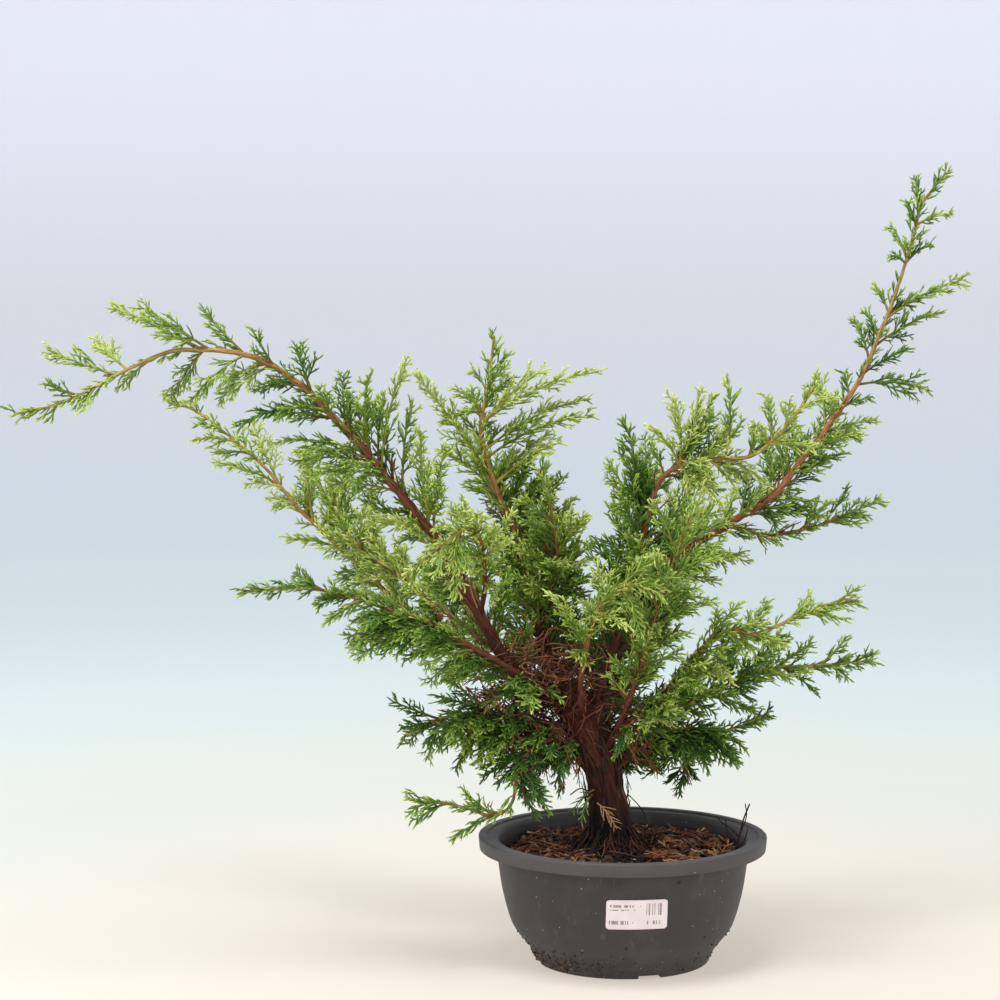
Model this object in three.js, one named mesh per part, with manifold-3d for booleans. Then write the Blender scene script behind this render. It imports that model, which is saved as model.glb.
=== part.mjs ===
// A juniper bonsai in a round plastic training pot: pot, label, soil, root mound, trunk, limbs and
// foliage. Millimetres, +Z up. The origin is the centre of the pot's underside.

import * as THREE from 'three';
import { mergeVertices } from 'three/addons/utils/BufferGeometryUtils.js';
import Module from 'manifold-3d';

const wasm = await Module();
wasm.setup();

// ---- Driving dimensions ----------------------------------------------------------------------

const gap = 0.3; // clearance kept between two pieces that touch

// Pot
const potHeight = 105;
const rimRadius = 120; // outside of the lip
const wall = 2.5;
const lipHeight = 11;
const lipWidth = 14.5; // from the outside of the lip in to the pot's wall
const lipLedge = 7; // flat outer ring on top of the lip
const lipStep = 1.5; // how far the inner ring lies below the outer one
const lipSkin = 2; // thickness of the lip's top and of its skirt
const lipEdge = 1; // thickness of the skirt's lower edge
const footRadius = 72;
const footHeight = 13;
const shoulderHeight = 17; // where the bowl starts above the foot
const bellyHeight = 32; // where the bowl turns upright
const footRing = 9; // width of the ring that the pot stands on
const floorLift = 3; // the floor's underside above the ring
const padRadius = 20; // centre pad, level with the ring
const drainHoleRadius = 6;
const drainHoleCount = 6;
const drainHoleCircle = 44;
const notchWidth = 20; // water outlets through the foot ring
const notchCount = 4;
const notchTurn = 16; // degrees from the front to the first outlet
const potSides = 32;

// Label
const labelWidth = 50;
const labelHeight = 25;
const labelCorner = 2.5;
const labelThickness = 0.4;
const labelTurn = 4.3; // degrees to the right of the front
const labelMiddle = 60; // height of its centre

// Soil and root mound
const soilDrop = 20; // soil at the wall below the rim
const soilDome = 8; // extra height of the soil at the middle
const moundHeight = 24; // root mound above the soil's edge
const rootSpread = 13; // root mound beyond the trunk's flare

// Tree
const treeHeight = 571; // soil's edge to the highest tip
const treeSpread = 770; // leftmost tip to rightmost tip
const trunkDiameter = 46; // at the root flare
const trunkDepth = 30; // buried in the soil
const sleeve = 5; // depth of the foliage that grows close round a limb
const twigThickness = 0.5; // a spray's thickness as a share of its breadth
const goldenAngle = 2.4; // radians from one spray of a fill to the next
const fillLean = 0.45; // how far a fill's spray leans along its limb, as a share of its reach
const fillSpread = 0.9; // and how far it stands off it

// The routes below were laid out for a tree of this height and spread, above the soil's edge.
const drawn = { height: 571, spread: 770 };

const soilEdge = potHeight - soilDrop;
const moundRadius = trunkDiameter / 2 + rootSpread;

// Trunk: x, y, height and breadth as a share of the flare's.
const trunkRoute = [
  [-10, 0, 4, 1.0],
  [-12, 0, 30, 0.86],
  [-14, -2, 57, 0.78],
  [-18, -3, 79, 0.74],
  [-27, -3, 100, 0.74],
  [-37, 0, 122, 0.7],
  [-48, 0, 146, 0.56],
];

// Limbs: thickness at the base and the tip, and the route from inside whatever carries them.
const limbs = {
  left_long: {
    thick: [17, 2],
    route: [[-42, 0, 132], [-80, -10, 150], [-105, -20, 180], [-130, -35, 230], [-150, -40, 265],
      [-200, -50, 330], [-240, -60, 375], [-265, -65, 400], [-300, -70, 420], [-340, -75, 425],
      [-375, -80, 420], [-445, -90, 385], [-485, -95, 375]],
  },
  left_back: {
    thick: [11, 2],
    route: [[-38, 3, 122], [-70, 30, 135], [-120, 60, 165], [-170, 90, 185], [-230, 130, 235],
      [-280, 150, 280], [-310, 160, 315], [-365, 170, 360], [-395, 175, 370]],
  },
  left_back_low: {
    thick: [7, 2],
    route: [[-95, 45, 150], [-110, 45, 172], [-150, 60, 200], [-200, 80, 235], [-230, 90, 255],
      [-245, 100, 300]],
  },
  left_low: {
    thick: [9, 2],
    route: [[-42, -2, 132], [-70, -28, 150], [-118, -55, 180], [-158, -62, 205], [-190, -65, 216],
      [-227, -70, 229], [-262, -70, 234], [-306, -70, 231]],
  },
  left_side: {
    thick: [8, 2],
    route: [[-30, -3, 108], [-70, -20, 118], [-105, -28, 125], [-145, -40, 125], [-180, -45, 110]],
  },
  left_skirt: {
    thick: [6, 1.6],
    route: [[-22, -4, 90], [-50, -25, 104], [-76, -40, 98], [-88, -50, 80], [-92, -58, 58],
      [-108, -60, 47], [-138, -60, 56], [-175, -60, 60]],
  },
  front_left: {
    thick: [6, 2],
    route: [[-118, -27, 205], [-114, -60, 240], [-118, -90, 276], [-130, -112, 285],
      [-150, -128, 273], [-170, -132, 255]],
  },
  centre_left: {
    thick: [12, 2.4],
    route: [[-45, 2, 138], [-58, 24, 160], [-68, 32, 185], [-78, 38, 230], [-90, 40, 270],
      [-105, 40, 305], [-118, 40, 350], [-112, 40, 390], [-107, 40, 433]],
  },
  centre: {
    thick: [7, 2],
    route: [[-69, 33, 190], [-58, 12, 222], [-55, -2, 262], [-62, -8, 300], [-70, -5, 325]],
  },
  right_long: {
    thick: [15, 2],
    route: [[-32, 4, 112], [-15, 25, 145], [0, 40, 172], [25, 50, 210], [45, 60, 245],
      [95, 65, 275], [130, 70, 297], [155, 72, 328], [180, 75, 360], [203, 75, 395],
      [220, 75, 435], [235, 75, 475], [248, 75, 520], [255, 75, 545], [276, 72, 571]],
  },
  right_arm: {
    thick: [5, 2],
    route: [[88, 64, 272], [105, 72, 268], [128, 80, 262], [165, 88, 268], [200, 90, 279]],
  },
  right_mid: {
    thick: [12, 2.4],
    route: [[-27, -2, 100], [-16, -4, 150], [5, -4, 216], [17, -10, 275], [33, -20, 322],
      [75, -30, 335], [102, -35, 338], [128, -40, 360], [153, -40, 396]],
  },
  front_arch: {
    thick: [9, 2],
    route: [[-28, -4, 102], [-36, -34, 140], [-33, -60, 180], [-26, -74, 210], [-12, -86, 232],
      [5, -95, 240], [25, -100, 232]],
  },
  front_right: {
    thick: [7, 2],
    route: [[-18, -6, 82], [0, -38, 130], [15, -58, 180], [28, -66, 225], [40, -70, 265],
      [52, -72, 295]],
  },
  right_low: {
    thick: [9, 2],
    route: [[-22, -2, 90], [0, -14, 112], [22, -26, 130], [50, -48, 168], [66, -55, 188],
      [85, -60, 200], [104, -60, 196], [137, -60, 209], [171, -60, 223], [186, -60, 223]],
  },
  right_back_low: {
    thick: [9, 2],
    route: [[-22, 2, 90], [5, 22, 112], [50, 40, 122], [95, 50, 139], [128, 60, 150],
      [160, 60, 152], [214, 60, 157]],
  },
  right_droop: {
    thick: [7, 2],
    route: [[-16, 2, 72], [15, 6, 98], [50, 4, 108], [85, 5, 106], [120, 10, 118]],
  },
  right_hanging: {
    thick: [5, 2],
    route: [[36, 5, 104], [46, 20, 90], [54, 28, 74], [52, 30, 58]],
  },
  back_left: {
    thick: [9, 2],
    route: [[-36, 4, 118], [-52, 50, 150], [-66, 90, 205], [-84, 125, 260], [-108, 150, 315]],
  },
  back_right: {
    thick: [9, 2],
    route: [[-26, 3, 96], [-8, 62, 140], [18, 100, 195], [42, 128, 250], [65, 145, 300]],
  },
  back_low: {
    thick: [8, 2],
    route: [[-17, 3, 78], [-22, 60, 102], [-16, 110, 120], [-10, 155, 128], [-5, 185, 132]],
  },
};

// Foliage: the limb that bears it, the stretch of that limb as shares of its length, the tips of
// its side sprays and, inside the crown, a fill of sprays set round the limb: how many, and their
// reach.
const foliage = {
  left_long_tip: {
    limb: 'left_long',
    stretch: [0.84, 1],
    tips: [[-460, -80, 425], [-425, -60, 435], [-460, -105, 400], [-430, -100, 378]],
  },
  left_long_outer: {
    limb: 'left_long',
    stretch: [0.66, 0.8],
    tips: [[-410, -65, 460], [-385, -95, 460], [-365, -60, 382], [-340, -55, 457], [-345, -100, 385],
      [-405, -70, 395]],
  },
  left_long_mid: {
    limb: 'left_long',
    stretch: [0.5, 0.62],
    tips: [[-310, -90, 365], [-248, -90, 425], [-228, -40, 398], [-275, -45, 365], [-245, -95, 390]],
  },
  left_long_inner: {
    limb: 'left_long',
    stretch: [0.36, 0.47],
    tips: [[-172, -90, 420], [-210, -110, 400], [-262, -100, 345], [-265, -60, 335],
      [-195, -55, 385], [-168, -60, 378]],
  },
  left_long_base: {
    limb: 'left_long',
    stretch: [0.22, 0.33],
    tips: [[-165, -70, 360], [-145, -95, 345], [-185, -95, 290], [-205, -55, 285], [-130, -50, 300]],
  },
  left_back_tip: {
    limb: 'left_back',
    stretch: [0.78, 1],
    tips: [[-370, 145, 340], [-355, 185, 325], [-370, 190, 350], [-330, 180, 345]],
  },
  left_back_mid: {
    limb: 'left_back',
    stretch: [0.3, 0.74],
    fill: [4, 50],
    tips: [[-320, 175, 350], [-350, 140, 320], [-325, 150, 300], [-285, 120, 255], [-305, 190, 285],
      [-240, 165, 285]],
  },
  left_back_low: {
    limb: 'left_back_low',
    stretch: [0.3, 1],
    fill: [2, 45],
    tips: [[-275, 110, 330], [-250, 120, 300], [-215, 70, 290], [-255, 60, 270], [-190, 105, 255]],
  },
  left_low: {
    limb: 'left_low',
    stretch: [0.22, 1],
    fill: [4, 52],
    tips: [[-310, -70, 230], [-275, -50, 250], [-265, -90, 245], [-245, -85, 210], [-225, -55, 190],
      [-218, -90, 175], [-180, -45, 240]],
  },
  left_side: {
    limb: 'left_side',
    stretch: [0.2, 1],
    fill: [6, 52],
    tips: [[-195, -40, 140], [-180, -65, 120], [-182, -25, 100], [-165, -50, 95], [-150, -85, 150],
      [-140, -20, 150], [-120, -60, 95]],
  },
  left_skirt: {
    limb: 'left_skirt',
    stretch: [0.52, 1],
    tips: [[-175, -75, 52], [-170, -45, 40], [-140, -70, 30], [-125, -35, 50], [-130, -85, 72]],
  },
  left_hanging: {
    limb: 'left_skirt',
    stretch: [0.2, 0.46],
    tips: [[-65, -65, 60], [-62, -45, 48], [-118, -50, 85], [-95, -80, 75], [-80, -20, 70]],
  },
  front_left: {
    limb: 'front_left',
    stretch: [0.25, 1],
    fill: [3, 42],
    tips: [[-175, -118, 240], [-150, -148, 255], [-120, -135, 300], [-95, -100, 275],
      [-140, -80, 300], [-135, -125, 235]],
  },
  centre_left_top: {
    limb: 'centre_left',
    stretch: [0.8, 1],
    tips: [[-125, 50, 405], [-142, 30, 390], [-95, 20, 410], [-88, 60, 400], [-105, 70, 390]],
  },
  centre_left_right: {
    limb: 'centre_left',
    stretch: [0.6, 0.77],
    tips: [[-15, 30, 415], [-20, 50, 385], [-22, 15, 372], [-65, 10, 412], [-60, 50, 350],
      [-50, 20, 345]],
  },
  centre_left_low: {
    limb: 'centre_left',
    stretch: [0.2, 0.57],
    fill: [6, 58],
    tips: [[-172, 40, 400], [-140, 65, 360], [-150, 15, 340], [-50, 50, 315], [-40, 70, 295],
      [-120, 85, 320]],
  },
  centre: {
    limb: 'centre',
    stretch: [0.2, 1],
    fill: [5, 48],
    tips: [[-80, -25, 300], [-40, -15, 295], [-25, 10, 270], [-90, -35, 265], [-30, -40, 245]],
  },
  right_mid_left: {
    limb: 'right_mid',
    stretch: [0.22, 0.6],
    fill: [7, 58],
    tips: [[0, -10, 365], [-22, -25, 330], [18, 20, 350], [-15, 15, 320], [-10, -45, 300]],
  },
  right_mid_middle: {
    limb: 'right_mid',
    stretch: [0.64, 0.8],
    fill: [2, 42],
    tips: [[60, -20, 390], [38, -45, 385], [72, 0, 385], [82, -35, 400], [20, -45, 362],
      [75, -65, 300]],
  },
  right_mid_tip: {
    limb: 'right_mid',
    stretch: [0.84, 1],
    tips: [[115, -25, 385], [155, -20, 400], [130, -60, 385], [165, -50, 385], [100, -65, 365],
      [150, -55, 345]],
  },
  right_long_top: {
    limb: 'right_long',
    stretch: [0.85, 1],
    tips: [[250, 90, 565], [277, 60, 535], [265, 95, 510], [240, 65, 545], [230, 90, 525],
      [225, 60, 500]],
  },
  right_long_upper: {
    limb: 'right_long',
    stretch: [0.66, 0.82],
    tips: [[290, 70, 480], [270, 95, 450], [215, 80, 475], [200, 90, 445], [240, 55, 420],
      [262, 80, 387]],
  },
  right_long_mid: {
    limb: 'right_long',
    stretch: [0.49, 0.63],
    tips: [[215, 60, 360], [212, 95, 342], [180, 60, 382], [196, 40, 350], [170, 95, 395],
      [145, 85, 360]],
  },
  right_long_low: {
    limb: 'right_long',
    stretch: [0.14, 0.46],
    fill: [6, 56],
    tips: [[110, 85, 238], [80, 45, 225], [120, 42, 310], [100, 98, 300], [60, 90, 270]],
  },
  right_arm: {
    limb: 'right_arm',
    stretch: [0.35, 1],
    tips: [[226, 90, 285], [200, 110, 298], [165, 108, 262], [178, 66, 278], [205, 76, 264]],
  },
  front_arch: {
    limb: 'front_arch',
    stretch: [0.25, 1],
    fill: [5, 46],
    tips: [[-5, -118, 210], [22, -90, 262], [40, -85, 245], [-25, -112, 255], [10, -95, 200],
      [-60, -90, 230]],
  },
  front_right: {
    limb: 'front_right',
    stretch: [0.25, 1],
    fill: [5, 46],
    tips: [[62, -60, 312], [70, -95, 262], [20, -85, 305], [80, -50, 285], [20, -100, 265],
      [65, -85, 225]],
  },
  right_low: {
    limb: 'right_low',
    stretch: [0.2, 1],
    fill: [5, 48],
    tips: [[186, -70, 235], [172, -85, 210], [150, -35, 225], [85, -85, 220], [125, -80, 190],
      [115, -38, 220], [130, -35, 185]],
  },
  right_back_low: {
    limb: 'right_back_low',
    stretch: [0.22, 1],
    fill: [4, 50],
    tips: [[214, 45, 165], [195, 78, 175], [160, 38, 175], [196, 75, 140], [165, 50, 130],
      [140, 85, 170], [120, 30, 165]],
  },
  right_droop: {
    limb: 'right_droop',
    stretch: [0.25, 1],
    fill: [4, 44],
    tips: [[136, 8, 128], [132, 28, 112], [112, -20, 98], [95, 30, 88], [88, -28, 112],
      [70, -25, 88]],
  },
  right_hanging: {
    limb: 'right_hanging',
    stretch: [0.35, 1],
    tips: [[64, 30, 60], [48, 16, 50], [42, 46, 55], [22, 34, 64], [72, 42, 74]],
  },
  back_left: {
    limb: 'back_left',
    stretch: [0.22, 1],
    fill: [4, 54],
    tips: [[-125, 165, 345], [-72, 160, 325], [-132, 130, 300], [-62, 120, 275], [-108, 170, 280],
      [-92, 88, 255], [-40, 110, 235]],
  },
  back_right: {
    limb: 'back_right',
    stretch: [0.22, 1],
    fill: [4, 54],
    tips: [[80, 155, 325], [35, 152, 315], [95, 125, 280], [10, 122, 255], [75, 158, 250],
      [18, 140, 200], [60, 95, 230]],
  },
  back_low: {
    limb: 'back_low',
    stretch: [0.25, 1],
    fill: [3, 44],
    tips: [[0, 205, 135], [-35, 185, 148], [35, 175, 130], [-45, 145, 108], [35, 130, 105],
      [-12, 172, 98]],
  },
};

// ---- Materials ---------------------------------------------------------------------------------

const paint = (color, roughness) => new THREE.MeshStandardMaterial({ color, roughness, metalness: 0 });

const materials = {
  pot: paint('#3a393c', 0.62),
  label: paint('#f0e4e2', 0.45),
  soil: paint('#1d1310', 0.95),
  roots: paint('#130e0b', 0.95),
  trunk: paint('#54281b', 0.85),
  bark: paint('#8a4a2c', 0.75),
  leaf: paint('#5f9a37', 0.6),
};

// ---- Geometry helpers --------------------------------------------------------------------------

const along = (from, to, share) => from + (to - from) * share;

// A closed three.js geometry as a solid that can be joined and cut.
function solid(geometry) {
  const bare = geometry.clone();
  bare.deleteAttribute('normal');
  bare.deleteAttribute('uv');
  const merged = mergeVertices(bare, 1e-4);
  const { array } = merged.index;
  const triangles = [];
  for (let i = 0; i < array.length; i += 3) {
    const [a, b, c] = array.slice(i, i + 3);
    if (a !== b && b !== c && c !== a) triangles.push(a, b, c);
  }
  const mesh = new wasm.Mesh({
    numProp: 3,
    vertProperties: new Float32Array(merged.attributes.position.array),
    triVerts: new Uint32Array(triangles),
  });
  return new wasm.Manifold(mesh);
}

const join = (solids) => solids.reduce((sum, piece) => sum.add(piece));

// Takes the cutters that come near the solid away from it, and keeps its main body.
function carve(body, cutters) {
  const { min, max } = body.boundingBox();
  const near = cutters.filter((cutter) => {
    const box = cutter.boundingBox();
    return [0, 1, 2].every((axis) => box.min[axis] < max[axis] && box.max[axis] > min[axis]);
  });
  const cut = near.reduce((rest, cutter) => rest.subtract(cutter), body);
  return cut.decompose().sort((a, b) => b.volume() - a.volume())[0];
}

// A solid turned about the Z axis from a profile of [radius, height] points.
function turned(profile, sides = potSides) {
  const points = profile.map(([radius, height]) => new THREE.Vector2(radius, height));
  return solid(new THREE.LatheGeometry(points, sides).rotateX(Math.PI / 2));
}

// A closed tube along a curve. Its breadth follows radiusAt(share of length), and thickness
// flattens the section.
function sweep(curve, radiusAt, { sides = 6, steps = 6, thickness = 1 } = {}) {
  const geometry = new THREE.CylinderGeometry(1, 1, 1, sides, steps);
  const frames = curve.computeFrenetFrames(steps, false);
  const { position } = geometry.attributes;
  const vertex = new THREE.Vector3();
  for (let i = 0; i < position.count; i += 1) {
    vertex.fromBufferAttribute(position, i);
    const row = Math.round((vertex.y + 0.5) * steps);
    const radius = radiusAt(row / steps);
    const point = curve.getPointAt(row / steps);
    point.addScaledVector(frames.binormals[row], vertex.x * radius);
    point.addScaledVector(frames.normals[row], vertex.z * radius * thickness);
    position.setXYZ(i, point.x, point.y, point.z);
  }
  return solid(geometry);
}

// A smooth curve through points of the tree, given above the soil's edge.
function place([x, y, z]) {
  const wide = treeSpread / drawn.spread;
  const tall = treeHeight / drawn.height;
  return new THREE.Vector3(x * wide, y * wide, soilEdge + z * tall);
}

const curveThrough = (points) => new THREE.CatmullRomCurve3(points, false, 'catmullrom', 0.5);

// ---- Pot ---------------------------------------------------------------------------------------

// Outside of the pot's wall, from the foot up to the lip: [radius, height].
const wallTop = rimRadius - lipWidth;
const outerWall = [
  [footRadius, 0],
  [along(footRadius, wallTop, 0.17), footHeight],
  [along(footRadius, wallTop, 0.28), shoulderHeight],
  [along(footRadius, wallTop, 0.6), bellyHeight],
  [along(footRadius, wallTop, 0.82), along(bellyHeight, potHeight, 0.34)],
  [along(footRadius, wallTop, 0.94), along(bellyHeight, potHeight, 0.68)],
  [wallTop, potHeight - lipStep - lipSkin],
];

// The pot's wall surface at a height, moved outward by an offset.
function wallRadius(height, offset = 0) {
  const upper = Math.max(1, outerWall.findIndex(([, z]) => z >= height));
  const [r0, z0] = outerWall[upper - 1];
  const [r1, z1] = outerWall[upper];
  return along(r0, r1, (height - z0) / (z1 - z0)) + offset;
}

// Inside of the pot: floor, then the wall at its thickness, up to the rim's opening.
const floorTop = floorLift + wall;
const innerTop = potHeight - lipStep;
const innerWall = [
  [0, floorTop],
  [wallRadius(floorTop, -wall), floorTop],
  ...outerWall.slice(1, 6).map(([radius, height]) => [radius - wall, height]),
  [wallTop - wall, innerTop - wall],
  [wallTop, innerTop],
];

function makePot() {
  const skirt = potHeight - lipHeight;
  const profile = [
    [0, 0],
    [padRadius, 0],
    [padRadius, floorLift],
    [footRadius - footRing, floorLift],
    [footRadius - footRing, 0],
    ...outerWall,
    [rimRadius - lipSkin, potHeight - lipStep - lipSkin],
    [rimRadius - lipSkin, skirt],
    [rimRadius - lipEdge, skirt],
    [rimRadius, potHeight],
    [rimRadius - lipLedge, potHeight],
    [rimRadius - lipLedge, innerTop],
    ...innerWall.toReversed(),
  ];
  const holes = [];
  for (let i = 0; i < drainHoleCount; i += 1) {
    const turn = (2 * Math.PI * i) / drainHoleCount;
    const hole = new THREE.CylinderGeometry(drainHoleRadius, drainHoleRadius, 4 * wall, 10);
    hole.rotateX(Math.PI / 2);
    hole.translate(drainHoleCircle * Math.cos(turn), drainHoleCircle * Math.sin(turn), floorTop);
    holes.push(solid(hole));
  }
  for (let i = 0; i < notchCount; i += 1) {
    const turn = (2 * Math.PI * i) / notchCount + THREE.MathUtils.degToRad(notchTurn);
    const notch = new THREE.BoxGeometry(notchWidth, 3 * footRing, 2 * floorLift);
    notch.translate(0, -footRadius, 0);
    notch.rotateZ(turn);
    holes.push(solid(notch));
  }
  return turned(profile).subtract(join(holes));
}

function makeLabel() {
  const heights = [shoulderHeight, ...outerWall.slice(3, 6).map(([, height]) => height)];
  const skin = (offset) => heights.map((height) => [wallRadius(height, offset), height]);
  const outside = skin(gap + labelThickness);
  const shell = turned([...outside, ...skin(gap).toReversed(), outside[0]]);
  const outline = new THREE.Shape();
  const [w, h, c] = [labelWidth / 2, labelHeight / 2, labelCorner];
  outline.moveTo(c - w, -h);
  outline.absarc(w - c, c - h, c, -Math.PI / 2, 0);
  outline.absarc(w - c, h - c, c, 0, Math.PI / 2);
  outline.absarc(c - w, h - c, c, Math.PI / 2, Math.PI);
  outline.absarc(c - w, c - h, c, Math.PI, 1.5 * Math.PI);
  const stamp = new THREE.ExtrudeGeometry(outline, { depth: rimRadius, bevelEnabled: false, curveSegments: 2 });
  stamp.rotateX(Math.PI / 2);
  stamp.translate(0, 0, labelMiddle);
  stamp.rotateZ(THREE.MathUtils.degToRad(labelTurn));
  return shell.intersect(solid(stamp));
}

// ---- Soil and roots ----------------------------------------------------------------------------

// The soil fills the pot to its edge height and rises a little to the middle.
function makeSoil(grow) {
  const top = soilEdge + grow;
  const sides = innerWall.slice(1, -2).map(([radius, height]) => [radius - gap, height]);
  const fill = sides.filter(([, height]) => height < soilEdge - 1);
  const edge = wallRadius(soilEdge, -wall - gap);
  const profile = [
    [0, floorTop + gap],
    [fill[0][0], floorTop + gap],
    ...fill.slice(1),
    [edge, top],
    [0.75 * edge, top + 0.5 * soilDome],
    [0.4 * edge, top + 0.85 * soilDome],
    [0, top + soilDome],
  ];
  return turned(profile);
}

function makeMound() {
  const profile = [
    [0, soilEdge - soilDome],
    [moundRadius, soilEdge - soilDome],
    [moundRadius, soilEdge + 0.5 * soilDome],
    [0.75 * moundRadius, along(soilEdge, soilEdge + moundHeight, 0.55)],
    [0.5 * moundRadius, soilEdge + moundHeight],
    [0, soilEdge + moundHeight],
  ];
  const mound = turned(profile, 12);
  return mound.translate([trunkRoute[0][0], trunkRoute[0][1], 0]);
}

// ---- Wood --------------------------------------------------------------------------------------

function makeTrunk(grow = 0) {
  const [x, y] = trunkRoute[0];
  const foot = new THREE.Vector3(x, y, soilEdge - trunkDepth - grow);
  const curve = curveThrough([foot, ...trunkRoute.map(place)]);
  const shares = [0.8, ...trunkRoute.map(([, , , share]) => share)];
  const radiusAt = (u) => {
    const spot = curve.getUtoTmapping(u) * (shares.length - 1);
    const step = Math.min(Math.floor(spot), shares.length - 2);
    return (trunkDiameter / 2) * along(shares[step], shares[step + 1], spot - step) + grow;
  };
  return sweep(curve, radiusAt, { sides: 8, steps: 8 });
}

// Limbs taper quickly at first and then slowly.
const limbRadius = ({ thick }, share) => along(thick[0], thick[1], share ** 0.8) / 2;

function makeLimb(limb, grow = 0) {
  const curve = curveThrough(limb.route.map(place));
  const steps = Math.round(1.2 * limb.route.length);
  return sweep(curve, (share) => limbRadius(limb, share) + grow, { sides: 5, steps });
}

// ---- Foliage -----------------------------------------------------------------------------------

// Where a side spray leaves its limb: behind the point nearest its tip, because sprays lean
// forward.
function leavingShare(curve, length, tip, [start, end]) {
  const samples = 60;
  let best = { share: 0, distance: Infinity };
  for (let i = 0; i <= samples; i += 1) {
    const share = i / samples;
    const distance = curve.getPointAt(share).distanceTo(tip);
    if (distance < best.distance) best = { share, distance };
  }
  const back = Math.min(0.7 * best.distance, 40) / length;
  return THREE.MathUtils.clamp(best.share - back, start, end);
}

function makeSpray(curve, length, tip, stretch, grow) {
  const foot = curve.getPointAt(leavingShare(curve, length, tip, stretch));
  foot.lerp(tip, sleeve / 2 / foot.distanceTo(tip));
  const reach = foot.distanceTo(tip);
  const bend = foot.clone().lerp(tip, 0.5);
  bend.z += 0.06 * reach;
  const spine = new THREE.QuadraticBezierCurve3(foot, bend, tip);
  const broad = THREE.MathUtils.clamp(0.16 * reach + 6, 8, 17);
  const shape = [0.35, 1, 0.08];
  const radiusAt = (u) => shape[Math.round(2 * u)] * broad + grow;
  return sweep(spine, radiusAt, { sides: 3, steps: 2, thickness: twigThickness });
}

// Tips of sprays set round a stretch of limb and leaning forward, each a golden angle on from the
// last.
function fillTips(curve, [start, end], [count, reach]) {
  const tips = [];
  for (let i = 0; i < count; i += 1) {
    const share = along(start, end, (i + 0.5) / count);
    const heading = curve.getTangentAt(share);
    const side = new THREE.Vector3(heading.y, -heading.x, 0).normalize();
    const above = new THREE.Vector3().crossVectors(side, heading);
    const turn = goldenAngle * i;
    const tip = curve.getPointAt(share).addScaledVector(heading, fillLean * reach);
    tip.addScaledVector(side, Math.cos(turn) * fillSpread * reach);
    tip.addScaledVector(above, Math.sin(turn) * fillSpread * reach);
    tips.push(tip);
  }
  return tips;
}

function makeFoliage({ limb, stretch, tips, fill = [0, 0] }, grow = 0) {
  const curve = curveThrough(limbs[limb].route.map(place));
  const length = curve.getLength();
  const [start, end] = stretch;
  const points = [];
  for (let i = 0; i <= 3; i += 1) points.push(curve.getPointAt(along(start, end, i / 3)));
  const thickest = limbRadius(limbs[limb], start);
  const narrowing = end === 1 ? 0.4 : 0.9;
  const coreRadius = (u) => (thickest + sleeve) * along(1, narrowing, u) + grow;
  const core = sweep(curveThrough(points), coreRadius, { sides: 4, steps: 3 });
  const ends = [...tips.map(place), ...fillTips(curve, stretch, fill)];
  const sprays = ends.map((tip) => makeSpray(curve, length, tip, stretch, grow));
  return join([core, ...sprays]);
}

// ---- Assembly ----------------------------------------------------------------------------------

const object = new THREE.Group();

function addNode(name, body, material) {
  const { vertProperties, triVerts } = body.getMesh();
  const geometry = new THREE.BufferGeometry();
  geometry.setAttribute('position', new THREE.BufferAttribute(vertProperties, 3));
  geometry.setIndex(new THREE.BufferAttribute(triVerts, 1));
  geometry.computeVertexNormals();
  const mesh = new THREE.Mesh(geometry, material);
  mesh.name = name;
  object.add(mesh);
}

addNode('pot', makePot(), materials.pot);
addNode('label', makeLabel(), materials.label);

// Each later piece keeps its gap to all that was placed before it.
const placed = [makeTrunk(gap)];
addNode('trunk', makeTrunk(), materials.trunk);
addNode('soil', carve(makeSoil(0), placed), materials.soil);
addNode('root_mound', carve(makeMound(), [...placed, makeSoil(gap)]), materials.roots);

for (const [name, limb] of Object.entries(limbs)) {
  addNode(`limb_${name}`, carve(makeLimb(limb), placed), materials.bark);
  placed.push(makeLimb(limb, gap));
}

for (const [name, spray] of Object.entries(foliage)) {
  addNode(`foliage_${name}`, carve(makeFoliage(spray), placed), materials.leaf);
  placed.push(makeFoliage(spray, gap));
}

export default object;
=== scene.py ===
"""A juniper bonsai in a round plastic training pot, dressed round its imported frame.

Metres, +Z up. The limbs' routes and the tips of their side sprays are given in millimetres, with
heights from the soil's edge.
"""

import math

import bmesh
import bpy
import numpy as np
from mathutils import Matrix, Vector, noise


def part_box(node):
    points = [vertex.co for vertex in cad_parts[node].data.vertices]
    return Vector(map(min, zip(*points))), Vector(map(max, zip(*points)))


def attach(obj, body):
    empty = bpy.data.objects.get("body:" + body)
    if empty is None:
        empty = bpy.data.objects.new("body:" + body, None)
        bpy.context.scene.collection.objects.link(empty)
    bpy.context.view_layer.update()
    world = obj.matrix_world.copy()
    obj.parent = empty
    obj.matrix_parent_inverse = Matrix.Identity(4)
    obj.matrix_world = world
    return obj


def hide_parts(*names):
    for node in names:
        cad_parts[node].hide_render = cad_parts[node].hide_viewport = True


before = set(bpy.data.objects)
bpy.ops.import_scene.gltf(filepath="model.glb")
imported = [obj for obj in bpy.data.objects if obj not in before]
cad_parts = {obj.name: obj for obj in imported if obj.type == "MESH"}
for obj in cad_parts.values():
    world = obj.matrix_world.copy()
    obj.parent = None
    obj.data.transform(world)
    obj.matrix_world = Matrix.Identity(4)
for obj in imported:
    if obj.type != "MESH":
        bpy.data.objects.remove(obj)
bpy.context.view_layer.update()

MM = 0.001
UP = np.array([0.0, 0.0, 1.0])
TURN = 2 * math.pi

# Seeds of the random draws. Each foliage cluster and limb adds its own number to the seed.
SEEDS = {"foliage": 100, "limbs": 500, "litter": 41, "grit": 57, "rootlets": 63, "foot_crumbs": 67,
         "dead_twigs": 71, "fork_tangle": 79, "peelings": 83, "foot_frond": 89}

# ---- Sizes from the frame -------------------------------------------------------------------------

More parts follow.
